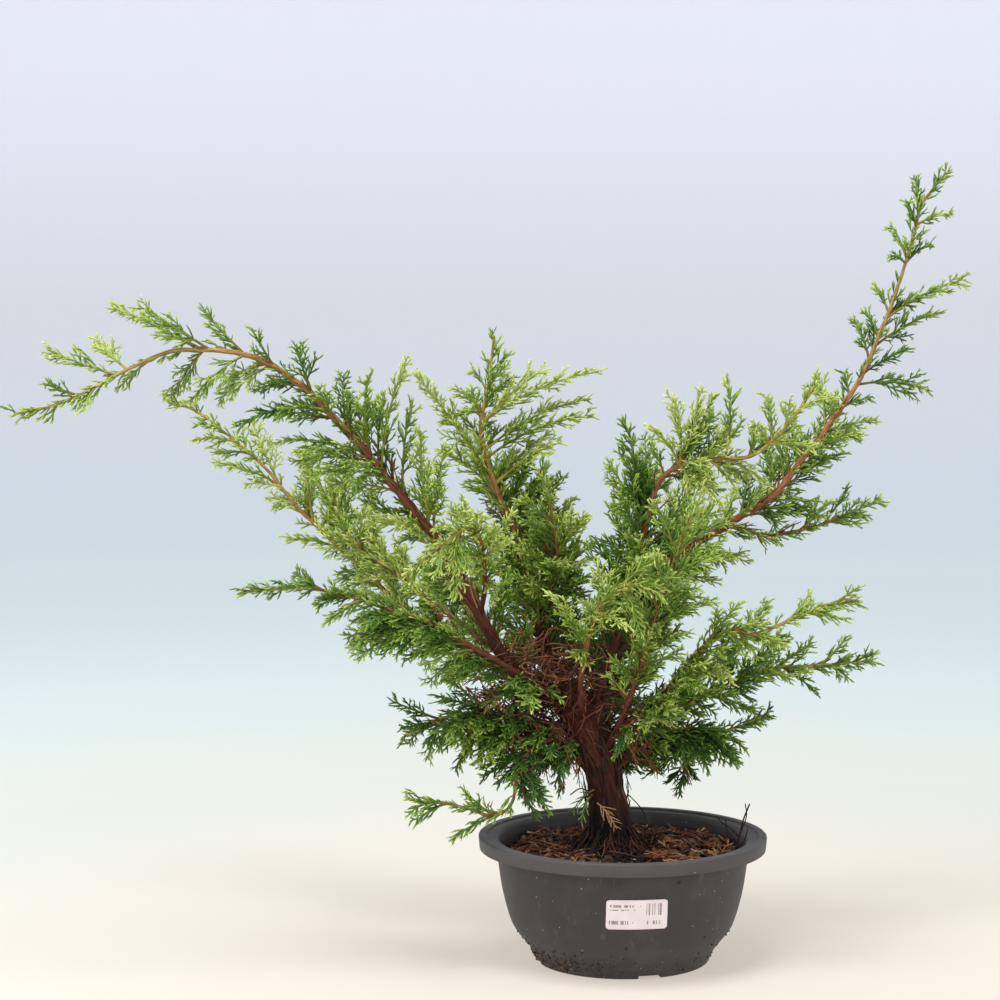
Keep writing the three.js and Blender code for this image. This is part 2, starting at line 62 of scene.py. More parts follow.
_, pot_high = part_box("pot")
POT_HEIGHT = pot_high.z
RIM_RADIUS = pot_high.x
SOIL_DROP = 20 * MM
SOIL_EDGE = POT_HEIGHT - SOIL_DROP
SOIL_DOME = 8 * MM
WALL = 2.5 * MM
LIP_WIDTH = 14.5 * MM
LIP_HEIGHT = 11 * MM
LIP_LEDGE = 7 * MM
LIP_STEP = 1.5 * MM
LIP_SKIN = 2 * MM
FOOT_RADIUS = 72 * MM
FOOT_RING = 9 * MM
FLOOR_LIFT = 3 * MM
OUTLETS = 4
OUTLET_WIDTH = 20 * MM
OUTLET_TURN = math.radians(16)
DRAINS = 6
DRAIN_RADIUS = 6 * MM
DRAIN_CIRCLE = 44 * MM
PAD_RADIUS = 20 * MM
WALL_TOP = RIM_RADIUS - LIP_WIDTH
FOOT_HEIGHT = 13 * MM
SHOULDER_HEIGHT = 17 * MM
BELLY_HEIGHT = 32 * MM
# Between the pot and what lies against it.
CLEARANCE = 0.3 * MM

# ---- The tree's layout, in millimetres above the soil's edge ----------------------------------------

# Trunk: x, y, height and radius, from the buried foot to the fork.
TRUNK = [
    (-10, 0, -30, 19),
    (-10, 0, 4, 22),
    (-12, 0, 30, 19.5),
    (-14, -2, 57, 18),
    (-18, -3, 79, 17),
    (-27, -3, 100, 17),
    (-37, 0, 122, 16),
    (-48, 0, 146, 12),
]

# Limbs: thickness at the base and the tip, and the route.
LIMBS = {
    "left_long": (17, 2, [
        (-42, 0, 132), (-80, -10, 150), (-105, -20, 180), (-130, -35, 230), (-150, -40, 265),
        (-200, -50, 330), (-240, -60, 375), (-265, -65, 400), (-300, -70, 420), (-340, -75, 425),
        (-375, -80, 420), (-445, -90, 385), (-485, -95, 375)]),
    "left_back": (11, 2, [
        (-38, 3, 122), (-70, 30, 135), (-120, 60, 165), (-170, 90, 185), (-230, 130, 235),
        (-280, 150, 280), (-310, 160, 315), (-365, 170, 360), (-395, 175, 370)]),
    "left_back_low": (7, 2, [
        (-95, 45, 150), (-110, 45, 172), (-150, 60, 200), (-200, 80, 235), (-230, 90, 255),
        (-245, 100, 300)]),
    "left_low": (9, 2, [
        (-42, -2, 132), (-70, -28, 150), (-118, -55, 180), (-158, -62, 205), (-190, -65, 216),
        (-227, -70, 229), (-262, -70, 234), (-306, -70, 231)]),
    "left_side": (8, 2, [
        (-30, -3, 108), (-70, -20, 118), (-105, -28, 125), (-145, -40, 125), (-180, -45, 110)]),
    "left_skirt": (6, 1.6, [
        (-22, -4, 90), (-50, -25, 104), (-76, -40, 98), (-88, -50, 80), (-92, -58, 58),
        (-108, -60, 47), (-138, -60, 56), (-175, -60, 60)]),
    "front_left": (6, 2, [
        (-118, -27, 205), (-114, -60, 240), (-118, -90, 276), (-130, -112, 285),
        (-150, -128, 273), (-170, -132, 255)]),
    "centre_left": (12, 2.4, [
        (-45, 2, 138), (-58, 24, 160), (-68, 32, 185), (-78, 38, 230), (-90, 40, 270),
        (-105, 40, 305), (-118, 40, 350), (-112, 40, 390), (-107, 40, 433)]),
    "centre": (7, 2, [
        (-69, 33, 190), (-58, 12, 222), (-55, -2, 262), (-62, -8, 300), (-70, -5, 325)]),
    "right_long": (15, 2, [
        (-32, 4, 112), (-15, 25, 145), (0, 40, 172), (25, 50, 210), (45, 60, 245),
        (95, 65, 275), (130, 70, 297), (155, 72, 328), (180, 75, 360), (203, 75, 395),
        (220, 75, 435), (235, 75, 475), (248, 75, 520), (255, 75, 545), (276, 72, 571)]),
    "right_arm": (5, 2, [
        (88, 64, 272), (105, 72, 268), (128, 80, 262), (165, 88, 268), (200, 90, 279)]),
    "right_mid": (12, 2.4, [
        (-27, -2, 100), (-16, -4, 150), (5, -4, 216), (17, -10, 275), (33, -20, 322),
        (75, -30, 335), (102, -35, 338), (128, -40, 360), (153, -40, 396)]),
    "front_arch": (9, 2, [
        (-28, -4, 102), (-36, -34, 140), (-33, -60, 180), (-26, -74, 210), (-12, -86, 232),
        (5, -95, 240), (25, -100, 232)]),
    "front_right": (7, 2, [
        (-18, -6, 82), (0, -38, 130), (15, -58, 180), (28, -66, 225), (40, -70, 265),
        (52, -72, 295)]),
    "right_low": (9, 2, [
        (-22, -2, 90), (0, -14, 112), (22, -26, 130), (50, -48, 168), (66, -55, 188),
        (85, -60, 200), (104, -60, 196), (137, -60, 209), (171, -60, 223), (186, -60, 223)]),
    "right_back_low": (9, 2, [
        (-22, 2, 90), (5, 22, 112), (50, 40, 122), (95, 50, 139), (128, 60, 150),
        (160, 60, 152), (214, 60, 157)]),
    "right_droop": (7, 2, [
        (-16, 2, 72), (15, 6, 98), (50, 4, 108), (85, 5, 106), (120, 10, 118)]),
    "right_hanging": (5, 2, [
        (36, 5, 104), (46, 20, 90), (54, 28, 74), (52, 30, 58)]),
    "back_left": (9, 2, [
        (-36, 4, 118), (-52, 50, 150), (-66, 90, 205), (-84, 125, 260), (-108, 150, 315)]),
    "back_right": (9, 2, [
        (-26, 3, 96), (-8, 62, 140), (18, 100, 195), (42, 128, 250), (65, 145, 300)]),
    "back_low": (8, 2, [
        (-17, 3, 78), (-22, 60, 102), (-16, 110, 120), (-10, 155, 128), (-5, 185, 132)]),
}

# Foliage: the bearing limb, the stretch of it as shares of its length, how pale the foliage is (0 deep
# green, 1 yellow green), the sprays set round its inner part (how many, and their reach), and the tips
# of its other side sprays.
# The low and hanging sprays have deep tones, partly their own deeper green and partly painted shade
# under the crown.
FOLIAGE = {
    "left_long_tip": ("left_long", (0.84, 1), 0.55, (0, 0), [
        (-460, -80, 425), (-425, -60, 435), (-460, -105, 400), (-430, -100, 378)]),
    "left_long_outer": ("left_long", (0.62, 0.8), 0.45, (0, 0), [
        (-410, -65, 460), (-385, -95, 460), (-365, -60, 382), (-338, -60, 455), (-345, -100, 385),
        (-405, -70, 395), (-328, -45, 396)]),
    "left_long_mid": ("left_long", (0.48, 0.64), 0.32, (0, 0), [
        (-310, -90, 365), (-262, -90, 428), (-228, -40, 404), (-285, -45, 372), (-245, -95, 395),
        (-325, -80, 385), (-300, -50, 392), (-298, -85, 442), (-275, -95, 378)]),
    "left_long_inner": ("left_long", (0.34, 0.47), 0.42, (0, 0), [
        (-176, -90, 414), (-205, -110, 404), (-262, -100, 345), (-265, -60, 335),
        (-195, -55, 388), (-172, -60, 382), (-278, -75, 352), (-245, -85, 328), (-240, -45, 315),
        (-220, -100, 338)]),
    "left_long_base": ("left_long", (0.22, 0.33), 0.6, (0, 0), [
        (-165, -70, 360), (-145, -95, 345), (-185, -95, 290), (-205, -55, 285), (-130, -50, 300),
        (-160, -30, 330), (-180, -25, 270)]),
    "left_back_tip": ("left_back", (0.78, 1), 0.55, (0, 0), [
        (-370, 145, 340), (-355, 185, 325), (-370, 190, 350), (-330, 180, 345)]),
    "left_back_mid": ("left_back", (0.3, 0.74), 0.6, (4, 50), [
        (-320, 175, 350), (-350, 140, 320), (-325, 150, 300), (-285, 120, 255), (-305, 190, 285),
        (-240, 165, 285), (-270, 125, 335), (-235, 115, 322), (-212, 105, 300), (-250, 150, 310)]),
    "left_back_low": ("left_back_low", (0.3, 1), 0.6, (2, 45), [
        (-275, 110, 330), (-250, 120, 300), (-215, 70, 290), (-255, 60, 270), (-190, 105, 255)]),
    "left_low": ("left_low", (0.36, 1), 0.36, (4, 50), [
        (-308, -70, 230), (-268, -50, 245), (-262, -88, 238), (-240, -85, 208), (-222, -55, 190),
        (-215, -90, 180), (-180, -50, 172), (-160, -78, 158)]),
    "left_side": ("left_side", (0.34, 1), 0.22, (5, 48), [
        (-190, -40, 138), (-178, -65, 120), (-178, -25, 100), (-160, -50, 92), (-150, -80, 148),
        (-140, -20, 150), (-120, -60, 90), (-138, -35, 80), (-102, -30, 82)]),
    "left_skirt": ("left_skirt", (0.52, 1), 0.45, (0, 0), [
        (-175, -75, 52), (-170, -45, 40), (-140, -70, 30), (-125, -35, 50), (-130, -85, 72)]),
    "left_hanging": ("left_skirt", (0.2, 0.46), 0.1, (0, 0), [
        (-65, -65, 60), (-62, -45, 48), (-118, -50, 85), (-95, -80, 75), (-80, -20, 70),
        (-52, -30, 62), (-74, -40, 44), (-104, -35, 70)]),
    "front_left": ("front_left", (0.25, 1), 0.6, (3, 42), [
        (-175, -118, 240), (-150, -148, 255), (-120, -135, 300), (-95, -100, 275),
        (-140, -80, 300), (-135, -125, 235)]),
    "centre_left_top": ("centre_left", (0.8, 1), 0.5, (0, 0), [
        (-125, 50, 405), (-142, 30, 390), (-95, 20, 410), (-92, 60, 398), (-105, 70, 390),
        (-132, 15, 372), (-150, 45, 360)]),
    "centre_left_right": ("centre_left", (0.6, 0.77), 0.65, (0, 0), [
        (-18, 30, 404), (-28, 50, 380), (-26, 15, 368), (-65, 10, 405), (-62, 50, 350),
        (-52, 20, 345)]),
    "centre_left_low": ("centre_left", (0.2, 0.57), 0.55, (6, 58), [
        (-172, 40, 400), (-140, 65, 360), (-150, 15, 340), (-50, 50, 315), (-40, 70, 295),
        (-120, 85, 320)]),
    "centre": ("centre", (0.2, 1), 0.45, (5, 48), [
        (-86, -25, 300), (-44, -15, 288), (-25, 10, 262), (-90, -35, 265), (-30, -40, 240)]),
    "right_mid_left": ("right_mid", (0.22, 0.6), 0.3, (7, 58), [
        (0, -10, 365), (-14, -25, 330), (18, 20, 350), (-8, 15, 312), (-4, -45, 300)]),
    "right_mid_middle": ("right_mid", (0.64, 0.8), 0.6, (2, 42), [
        (60, -20, 390), (38, -45, 385), (72, 0, 385), (82, -35, 400), (20, -45, 362),
        (75, -65, 300)]),
    "right_mid_tip": ("right_mid", (0.84, 1), 0.65, (0, 0), [
        (115, -25, 385), (155, -20, 400), (130, -60, 385), (165, -50, 385), (100, -65, 365),
        (150, -55, 345)]),
    "right_long_top": ("right_long", (0.85, 1), 0.4, (0, 0), [
        (250, 90, 565), (277, 60, 535), (265, 95, 510), (240, 65, 545), (230, 90, 525),
        (225, 60, 500)]),
    "right_long_upper": ("right_long", (0.66, 0.82), 0.35, (0, 0), [
        (290, 70, 480), (270, 95, 450), (215, 80, 475), (200, 90, 445), (240, 55, 420),
        (262, 80, 387)]),
    "right_long_mid": ("right_long", (0.49, 0.63), 0.5, (0, 0), [
        (215, 60, 360), (208, 95, 346), (180, 60, 382), (196, 40, 352), (170, 95, 395),
        (145, 85, 360), (172, 60, 340), (150, 90, 345)]),
    "right_long_low": ("right_long", (0.14, 0.46), 0.55, (6, 56), [
        (110, 85, 238), (80, 45, 225), (120, 42, 310), (100, 98, 300), (60, 90, 270)]),
    "right_arm": ("right_arm", (0.35, 1), 0.4, (0, 0), [
        (226, 90, 290), (198, 108, 300), (172, 105, 288), (178, 66, 292), (205, 76, 272)]),
    "front_arch": ("front_arch", (0.5, 1), 0.6, (2, 32), [
        (-5, -118, 210), (22, -90, 262), (40, -85, 245), (-25, -112, 255), (10, -95, 200),
        (-60, -90, 230)]),
    "front_right": ("front_right", (0.36, 1), 0.48, (5, 42), [
        (62, -60, 312), (70, -95, 262), (20, -85, 305), (80, -50, 285), (20, -100, 265),
        (65, -85, 225)]),
    "right_low": ("right_low", (0.2, 1), 0.55, (5, 48), [
        (186, -70, 235), (172, -85, 210), (150, -35, 225), (85, -85, 220), (125, -80, 190),
        (115, -38, 220), (130, -35, 185)]),
    "right_back_low": ("right_back_low", (0.22, 1), 0.36, (4, 50), [
        (214, 45, 165), (195, 78, 175), (160, 38, 175), (196, 75, 140), (165, 50, 130),
        (140, 85, 170), (120, 30, 165)]),
    "right_droop": ("right_droop", (0.25, 1), 0.1, (4, 44), [
        (124, 8, 122), (118, 26, 108), (100, -20, 96), (88, 28, 86), (84, -26, 110),
        (66, -25, 86), (40, -12, 84), (28, 18, 82)]),
    "right_hanging": ("right_hanging", (0.35, 1), 0.06, (0, 0), [
        (64, 30, 60), (48, 16, 50), (42, 46, 55), (22, 34, 64), (72, 42, 74)]),
    "back_left": ("back_left", (0.22, 1), 0.5, (4, 54), [
        (-125, 165, 345), (-72, 160, 325), (-132, 130, 300), (-62, 120, 275), (-108, 170, 280),
        (-92, 88, 255), (-40, 110, 235)]),
    "back_right": ("back_right", (0.22, 1), 0.5, (4, 54), [
        (80, 155, 325), (35, 152, 315), (95, 125, 280), (10, 122, 255), (75, 158, 250),
        (18, 140, 200), (60, 95, 230)]),
    "back_low": ("back_low", (0.25, 1), 0.3, (3, 44), [
        (0, 205, 135), (-35, 185, 148), (35, 175, 130), (-45, 145, 108), (35, 130, 105),
        (-12, 172, 98)]),
}

# Shaded sprays that close the inside of the crown: on which foliage, the stretch of its limb, how many,
# their reach, and how much deeper green than the rest. They stand beside and behind the limb, or hang
# from it.
INNER_SPRAYS = {
    "left_long_base": (0.05, 0.3, 22, 40, 0.25),
    "left_long_inner": (0.32, 0.45, 9, 30, 0.1),
    "left_long_mid": (0.46, 0.6, 6, 26, 0.05),
    "left_back_mid": (0.08, 0.7, 36, 40, 0.15),
    "left_back_low": (0.1, 0.85, 20, 34, 0.1),
    "left_low": (0.12, 0.7, 32, 36, 0.12),
    "left_side": (0.14, 0.76, 26, 34, 0.08),
    "left_hanging": (0.1, 0.5, 20, 32, 0.04),
    "front_left": (0.1, 0.8, 8, 28, 0.15),
    "centre_left_low": (0.04, 0.6, 44, 44, 0.2),
    "centre_left_top": (0.6, 0.9, 8, 26, 0.1),
    "centre": (0.05, 0.6, 16, 34, 0.15),
    "right_mid_left": (0.06, 0.62, 40, 44, 0.15),
    "right_mid_middle": (0.6, 0.84, 14, 34, 0.1),
    "right_long_low": (0.05, 0.46, 44, 46, 0.2),
    "right_long_mid": (0.44, 0.62, 14, 34, 0.1),
    "right_long_upper": (0.62, 0.8, 6, 24, 0.1),
    "front_right": (0.3, 0.85, 16, 34, 0.2),
    "right_low": (0.12, 0.56, 18, 32, 0.25),
    "right_back_low": (0.08, 0.56, 26, 34, 0.15),
    "right_droop": (0.1, 0.66, 28, 32, 0.05),
    "back_left": (0.1, 0.85, 20, 44, 0.1),
    "back_right": (0.1, 0.85, 20, 44, 0.1),
    "back_low": (0.1, 0.85, 16, 38, 0.1),
}
HANGING_SPRAYS = ("left_low", "left_side", "left_hanging", "right_low", "right_droop")

# ---- Camera, floor and light ------------------------------------------------------------------------

# In metres, millimetres and degrees.
CAMERA_PLACE = (-0.102, -2.300, 0.580)
CAMERA_LENS = 100.8
LOOKING_DOWN = 4.87


def place_camera():
    """Level with the lower crown, looking a little down at the pot."""
    lens = bpy.data.cameras.new("camera")
    lens.lens = CAMERA_LENS
    camera = bpy.data.objects.new("camera", lens)
    camera.location = CAMERA_PLACE
    camera.rotation_euler = (math.radians(90 - LOOKING_DOWN), 0, 0)
    bpy.context.scene.collection.objects.link(camera)
    bpy.context.scene.camera = camera


def hex_colour(code):
    """An sRGB hex colour as linear RGBA."""
    channels = [int(code[i:i + 2], 16) / 255 for i in (1, 3, 5)]
    linear = [c / 12.92 if c <= 0.04045 else ((c + 0.055) / 1.055) ** 2.4 for c in channels]
    return (*linear, 1.0)


def node(material, kind, inputs=None, stops=(), **settings):
    """Adds a shader node: its properties, its inputs' values or links, and a ramp's (place, colour)
    stops. A node given as a value links its first output in use."""
    tree = material.node_tree
    made = tree.nodes.new("ShaderNode" + kind)
    for name, value in settings.items():
        setattr(made, name, value)
    for key, value in (inputs or {}).items():
        socket = made.inputs[key]
        if isinstance(value, bpy.types.Node):
            value = next(output for output in value.outputs if output.enabled)
        if isinstance(value, bpy.types.NodeSocket):
            tree.links.new(value, socket)
        else:
            socket.default_value = value
    for i, (place, code) in enumerate(stops):
        elements = made.color_ramp.elements
        element = elements[i] if i < len(elements) else elements.new(place)
        element.position = place
        element.color = hex_colour(code)
    return made


def new_material(name):
    material = bpy.data.materials.new(name)
    material.use_nodes = True
    material.node_tree.nodes.clear()
    return material


def studio_paper():
    """Matt background paper: warm near the pot, then cooler. Its glow stands in for backlight."""
    material = new_material("matt_studio_paper")
    place = node(material, "TexCoord")
    apart = node(material, "SeparateXYZ", {"Vector": place.outputs["Object"]})
    flat = node(material, "CombineXYZ", {"X": apart.outputs["X"], "Y": apart.outputs["Y"]})
    away = node(material, "VectorMath", {0: flat}, operation="LENGTH")
    rise = node(material, "Math", {
        0: apart.outputs["Z"], 1: 2.5, 2: away}, operation="MULTIPLY_ADD")
    reach = node(material, "MapRange", {"Value": rise, "From Max": 10.0})
    colour = node(material, "ValToRGB", {"Fac": reach}, stops=[
        (0.0, "#a29b94"), (0.04, "#a8a39b"), (0.08, "#c6c9c2"), (0.11, "#e0e6e0"), (0.16, "#dfebea"),
        (0.28, "#d4e4e8"), (0.48, "#d2dee4"), (0.68, "#dadce1"), (0.88, "#e2e4ec")])
    glow = node(material, "ValToRGB", {"Fac": reach}, stops=[
        (0.0, "#b9b0a6"), (0.04, "#b6b2a9"), (0.08, "#848883"), (0.11, "#4f5856"),
        (0.14, "#556469"), (0.2, "#6a7276"), (0.31, "#828687"),
        (0.5, "#86888c"), (0.68, "#87888c"), (0.85, "#93959c")])
    shader = node(material, "BsdfPrincipled", {
        "Base Color": colour, "Roughness": 0.9, "Specular IOR Level": 0.2, "Emission Color": glow,
        "Emission Strength": 1.0})
    node(material, "OutputMaterial", {"Surface": shader})
    return material


def make_stage():
    """A shallow bowl of paper whose floor curves up all round, well behind any viewpoint."""
    flat, curve, height = 4.5, 1.5, 1.2
    profile = [(0.4 * i, 0.0) for i in range(1, 11)]
    for i in range(13):
        turn = math.radians(90 * i / 12)
        profile.append((flat + curve * math.sin(turn), curve * (1 - math.cos(turn))))
    profile.append((flat + curve, curve + height))
    around = 96
    angles = np.linspace(0, TURN, around, endpoint=False)
    places = [(0.0, 0.0, 0.0)]
    for radius, level in profile:
        places += [(radius * math.cos(a), radius * math.sin(a), level) for a in angles]
    faces = [[0, 1 + j, 1 + (j + 1) % around] for j in range(around)]
    for i in range(len(profile) - 1):
        for j in range(around):
            a, b = 1 + i * around + j, 1 + i * around + (j + 1) % around
            faces.append([a, a + around, b + around, b])
    mesh = bpy.data.meshes.new("paper_floor")
    mesh.from_pydata(places, [], faces)
    mesh.polygons.foreach_set("use_smooth", [True] * len(faces))
    mesh.materials.append(studio_paper())
    floor = bpy.data.objects.new("paper_floor", mesh)
    bpy.context.scene.collection.objects.link(floor)


def softbox(name, place, size, power, aim=(0.0, 0.0, 0.35)):
    light = bpy.data.lights.new(name, "AREA")
    light.shape = "DISK"
    light.size = size
    light.energy = power
    box = bpy.data.objects.new(name, light)
    box.location = place
    box.rotation_euler = (Vector(aim) - Vector(place)).to_track_quat("-Z", "Y").to_euler()
    box.visible_camera = False
    bpy.context.scene.collection.objects.link(box)


def light_studio():
    world = bpy.data.worlds.new("soft_white_room")
    world.use_nodes = True
    world.node_tree.nodes["Background"].inputs["Color"].default_value = (1.0, 1.0, 1.0, 1.0)
    world.node_tree.nodes["Background"].inputs["Strength"].default_value = 0.38
    bpy.context.scene.world = world
    softbox("overhead_softbox", (-0.3, -0.7, 2.6), 1.1, 56)
    softbox("left_softbox", (-2.2, -1.6, 1.7), 1.0, 24)
    softbox("right_softbox", (2.0, -1.8, 1.3), 1.0, 13)
    bpy.context.scene.view_settings.view_transform = "Standard"


# ---- Mesh helpers -----------------------------------------------------------------------------------


def make_piece(name, places, faces, material, maps=None):
    """A smooth mesh from arrays of places and faces, which may mix blocks of quads and triangles.
    maps holds UV maps by name, a pair for each face corner."""
    mesh = bpy.data.meshes.new(name)
    corners = np.concatenate([block.reshape(-1) for block in faces]).astype(np.int32)
    counts = np.concatenate([np.full(len(block), block.shape[1]) for block in faces])
    mesh.vertices.add(len(places))
    mesh.vertices.foreach_set("co", np.asarray(places, dtype=np.float32).reshape(-1))
    mesh.loops.add(len(corners))
    mesh.loops.foreach_set("vertex_index", corners)
    mesh.polygons.add(len(counts))
    starts = np.concatenate([[0], np.cumsum(counts)[:-1]]).astype(np.int32)
    mesh.polygons.foreach_set("loop_start", starts)
    mesh.polygons.foreach_set("use_smooth", np.full(len(counts), True))
    for key, values in (maps or {}).items():
        layer = mesh.uv_layers.new(name=key)
        layer.uv.foreach_set("vector", np.asarray(values, dtype=np.float32).reshape(-1))
    mesh.update(calc_edges=True)
    mesh.validate()
    made = bpy.data.objects.new(name, mesh)
    bpy.context.scene.collection.objects.link(made)
    mesh.materials.append(material)
    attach(made, "root")
    return made


def unit(vectors):
    return vectors / np.maximum(np.linalg.norm(vectors, axis=-1, keepdims=True), 1e-9)


def lengths_along(line):
    return np.concatenate([[0], np.cumsum(np.linalg.norm(np.diff(line[:, :3], axis=0), axis=1))])


def spline(points, per_span=12):
    """Points along a Catmull-Rom curve through the given points."""
    p = np.asarray(points, dtype=float)
    ends = np.vstack([2 * p[0] - p[1], p, 2 * p[-1] - p[-2]])
    t = np.linspace(0, 1, per_span, endpoint=False)[:, None]
    spans = []
    for a, b, c, d in zip(ends, ends[1:], ends[2:], ends[3:]):
        cubic = 2 * b + (c - a) * t + (2 * a - 5 * b + 4 * c - d) * t**2
        spans.append(0.5 * (cubic + (3 * b - a - 3 * c + d) * t**3))
    return np.vstack([*spans, p[-1:]])


def evenly(line, count):
    """The same line as evenly spaced points, with the share of the length at each."""
    reach = lengths_along(line)
    shares = np.linspace(0, 1, count)
    columns = [np.interp(shares * reach[-1], reach, column) for column in line.T]
    return np.stack(columns, axis=1), shares


def directions(line):
    return unit(np.gradient(line, axis=0))


def ring_frames(line):
    """Two directions square to the line at each point, carried along it without twisting."""
    heading = directions(line)
    first = UP if abs(heading[0][2]) < 0.9 else np.array([0.0, -1.0, 0.0])
    normals = [unit(first - heading[0] * first.dot(heading[0]))]
    for step in heading[1:]:
        last = normals[-1]
        normals.append(unit(last - step * last.dot(step)))
    normals = np.array(normals)
    return normals, np.cross(heading, normals)


def tube_faces(rings, around, first=0):
    """Quads between rings, wound so that they face out."""
    i = np.arange(rings - 1)[:, None] * around
    j = np.arange(around)[None, :]
    k = (j + 1) % around
    quads = np.stack([i + j, i + k, i + around + k, i + around + j], axis=-1)
    return quads.reshape(-1, 4) + first


def end_caps(rings, around):
    """Triangles from a tube's first and last rings to the two end points that follow the rings."""
    foot, last = rings * around, (rings - 1) * around
    j = np.arange(around)
    k = (j + 1) % around
    return np.vstack([np.stack([np.full(around, foot), k, j], 1),
                      np.stack([np.full(around, foot + 1), last + j, last + k], 1)])


def above_soil(points):
    """Layout points in metres, in the frame."""
    return np.asarray(points, dtype=float) * MM + UP * SOIL_EDGE


# ---- Bark -------------------------------------------------------------------------------------------


def stringy_bark():
    """Old juniper bark, weathered and peeling in long strips: grey-brown ridges over red-brown."""
    material = new_material("weathered_stringy_juniper_bark")
    grain = node(material, "UVMap", uv_map="grain")
    fibre = node(material, "Mapping", {
        "Vector": grain, "Scale": (1 / (2.6 * MM), 1 / (15 * MM), 1)})
    fibres = node(material, "TexNoise", {
        "Vector": fibre, "Scale": 1.0, "Detail": 6.0, "Roughness": 0.65, "Distortion": 0.9})
    broad = node(material, "Mapping", {"Vector": grain, "Scale": (1 / (14 * MM), 1 / (45 * MM), 1)})
    plates = node(material, "TexNoise", {
        "Vector": broad, "Scale": 1.0, "Detail": 4.0, "Roughness": 0.55})
    smooth = node(material, "ValToRGB", {"Fac": fibres}, stops=[
        (0.28, "#2a100b"), (0.38, "#481c11"), (0.56, "#592617"), (0.75, "#6b3422")])
    flaky = node(material, "ValToRGB", {"Fac": fibres}, stops=[
        (0.3, "#100806"), (0.43, "#311811"), (0.56, "#5a3527"), (0.72, "#8c6450")])
    age = node(material, "UVMap", uv_map="age")
    share = node(material, "SeparateXYZ", {"Vector": age})
    # The bark has weathered most on the trunk's right, where it lies in loose grey plates.
    weather = node(material, "ValToRGB", {"Fac": share.outputs["Y"]}, stops=[
        (0.0, "#3c3c3c"), (0.1, "#a0a0a0"), (0.22, "#d8d8d8"), (0.45, "#909090"), (0.75, "#303030"),
        (1.0, "#3c3c3c")])
    leaning = node(material, "Math", {0: weather, 1: 0.35, 2: plates}, operation="MULTIPLY_ADD")
    old = node(material, "MapRange", {"Value": leaning, "From Min": 0.52, "From Max": 0.64})
    mixed = node(material, "Mix", {"Factor": old, "A": smooth, "B": flaky}, data_type="RGBA")
    uneven = node(material, "Math", {
        0: leaning, 1: 0.6, 2: share.outputs["X"]}, operation="MULTIPLY_ADD")
    damp = node(material, "MapRange", {
        "Value": uneven, "From Min": 0.64, "From Max": 0.86, "To Min": 0.04})
    wetted = node(material, "Mix", {
        "Factor": damp, "A": hex_colour("#120a07"), "B": mixed}, data_type="RGBA")
    bump = node(material, "Bump", {"Height": fibres, "Strength": 0.9, "Distance": 1.4 * MM})
    shader = node(material, "BsdfPrincipled", {
        "Base Color": wetted, "Roughness": 0.82, "Normal": bump, "Specular IOR Level": 0.3})
    node(material, "OutputMaterial", {"Surface": shader})
    return material


def flaking_bark():
    """Thin bark of younger limbs: flaking red-brown on old wood, then orange, tan and green."""
    material = new_material("flaking_juniper_twig_bark")
    grain = node(material, "UVMap", uv_map="grain")
    flake = node(material, "Mapping", {
        "Vector": grain, "Scale": (1 / (1.6 * MM), 1 / (10 * MM), 1)})
    flakes = node(material, "TexNoise", {
        "Vector": flake, "Scale": 1.0, "Detail": 4.0, "Roughness": 0.6, "Distortion": 0.3})
    age = node(material, "UVMap", uv_map="age")
    share = node(material, "SeparateXYZ", {"Vector": age})
    along = node(material, "Math", {
        0: flakes, 1: 0.2, 2: share.outputs["X"]}, operation="MULTIPLY_ADD")
    wood = node(material, "ValToRGB", {"Fac": along}, stops=[
        (0.1, "#4a2118"), (0.32, "#6c3524"), (0.52, "#925237"), (0.72, "#b98050"), (0.95, "#bda75a")])
    shade = node(material, "ValToRGB", {"Fac": flakes}, stops=[
        (0.32, "#5a504c"), (0.5, "#cfc8c2"), (0.66, "#ffffff")])
    mixed = node(material, "Mix", {
        "Factor": 0.8, "A": wood, "B": shade}, data_type="RGBA", blend_type="MULTIPLY")
    bump = node(material, "Bump", {"Height": flakes, "Strength": 0.7, "Distance": 0.7 * MM})
    shader = node(material, "BsdfPrincipled", {
        "Base Color": mixed, "Roughness": 0.7, "Normal": bump, "Specular IOR Level": 0.35})
    node(material, "OutputMaterial", {"Surface": shader})
    return material


def bark_tube(name, line, radius, around, relief, material):
    """A closed tube of bark. relief gives the radius's factor from a share along, a turn round and a
    length along."""
    normals, across = ring_frames(line)
    reach = lengths_along(line)
    share = reach / reach[-1]
    turns = np.linspace(0, TURN, around, endpoint=False)
    ring = (np.cos(turns)[None, :, None] * normals[:, None]
            + np.sin(turns)[None, :, None] * across[:, None])
    swell = np.array([[relief(share[i], turn, reach[i]) for turn in turns] for i in range(len(line))])
    places = line[:, None] + ring * (radius[:, None] * swell)[..., None]
    rings = len(line)
    quads = tube_faces(rings, around)
    ends = np.array([line[0], line[-1]])
    places = np.vstack([places.reshape(-1, 3), ends])
    caps = end_caps(rings, around)
    wrap = TURN * float(np.mean(radius)) / around
    i = np.repeat(np.arange(rings - 1), around)
    j = np.tile(np.arange(around), rings - 1)
    rounds = np.stack([j, j + 1, j + 1, j], 1)
    levels = np.stack([i, i, i + 1, i + 1], 1)
    grain = np.stack([rounds * wrap, reach[levels]], -1).reshape(-1, 2)
    age = np.stack([share[levels], rounds / around], -1).reshape(-1, 2)
    cap_share = np.repeat([share[0], share[-1]], 3 * around)
    cap_grain = np.stack([places[caps.reshape(-1)][:, 0], places[caps.reshape(-1)][:, 2]], 1)
    cap_age = np.stack([cap_share, np.full(len(cap_share), 0.5)], 1)
    maps = {"grain": np.vstack([grain, cap_grain]), "age": np.vstack([age, cap_age])}
    return make_piece(name, places, [quads, caps], material, maps)


TRUNK_RINGS = 190
TRUNK_AROUND = 160
LIMB_AROUND = 14
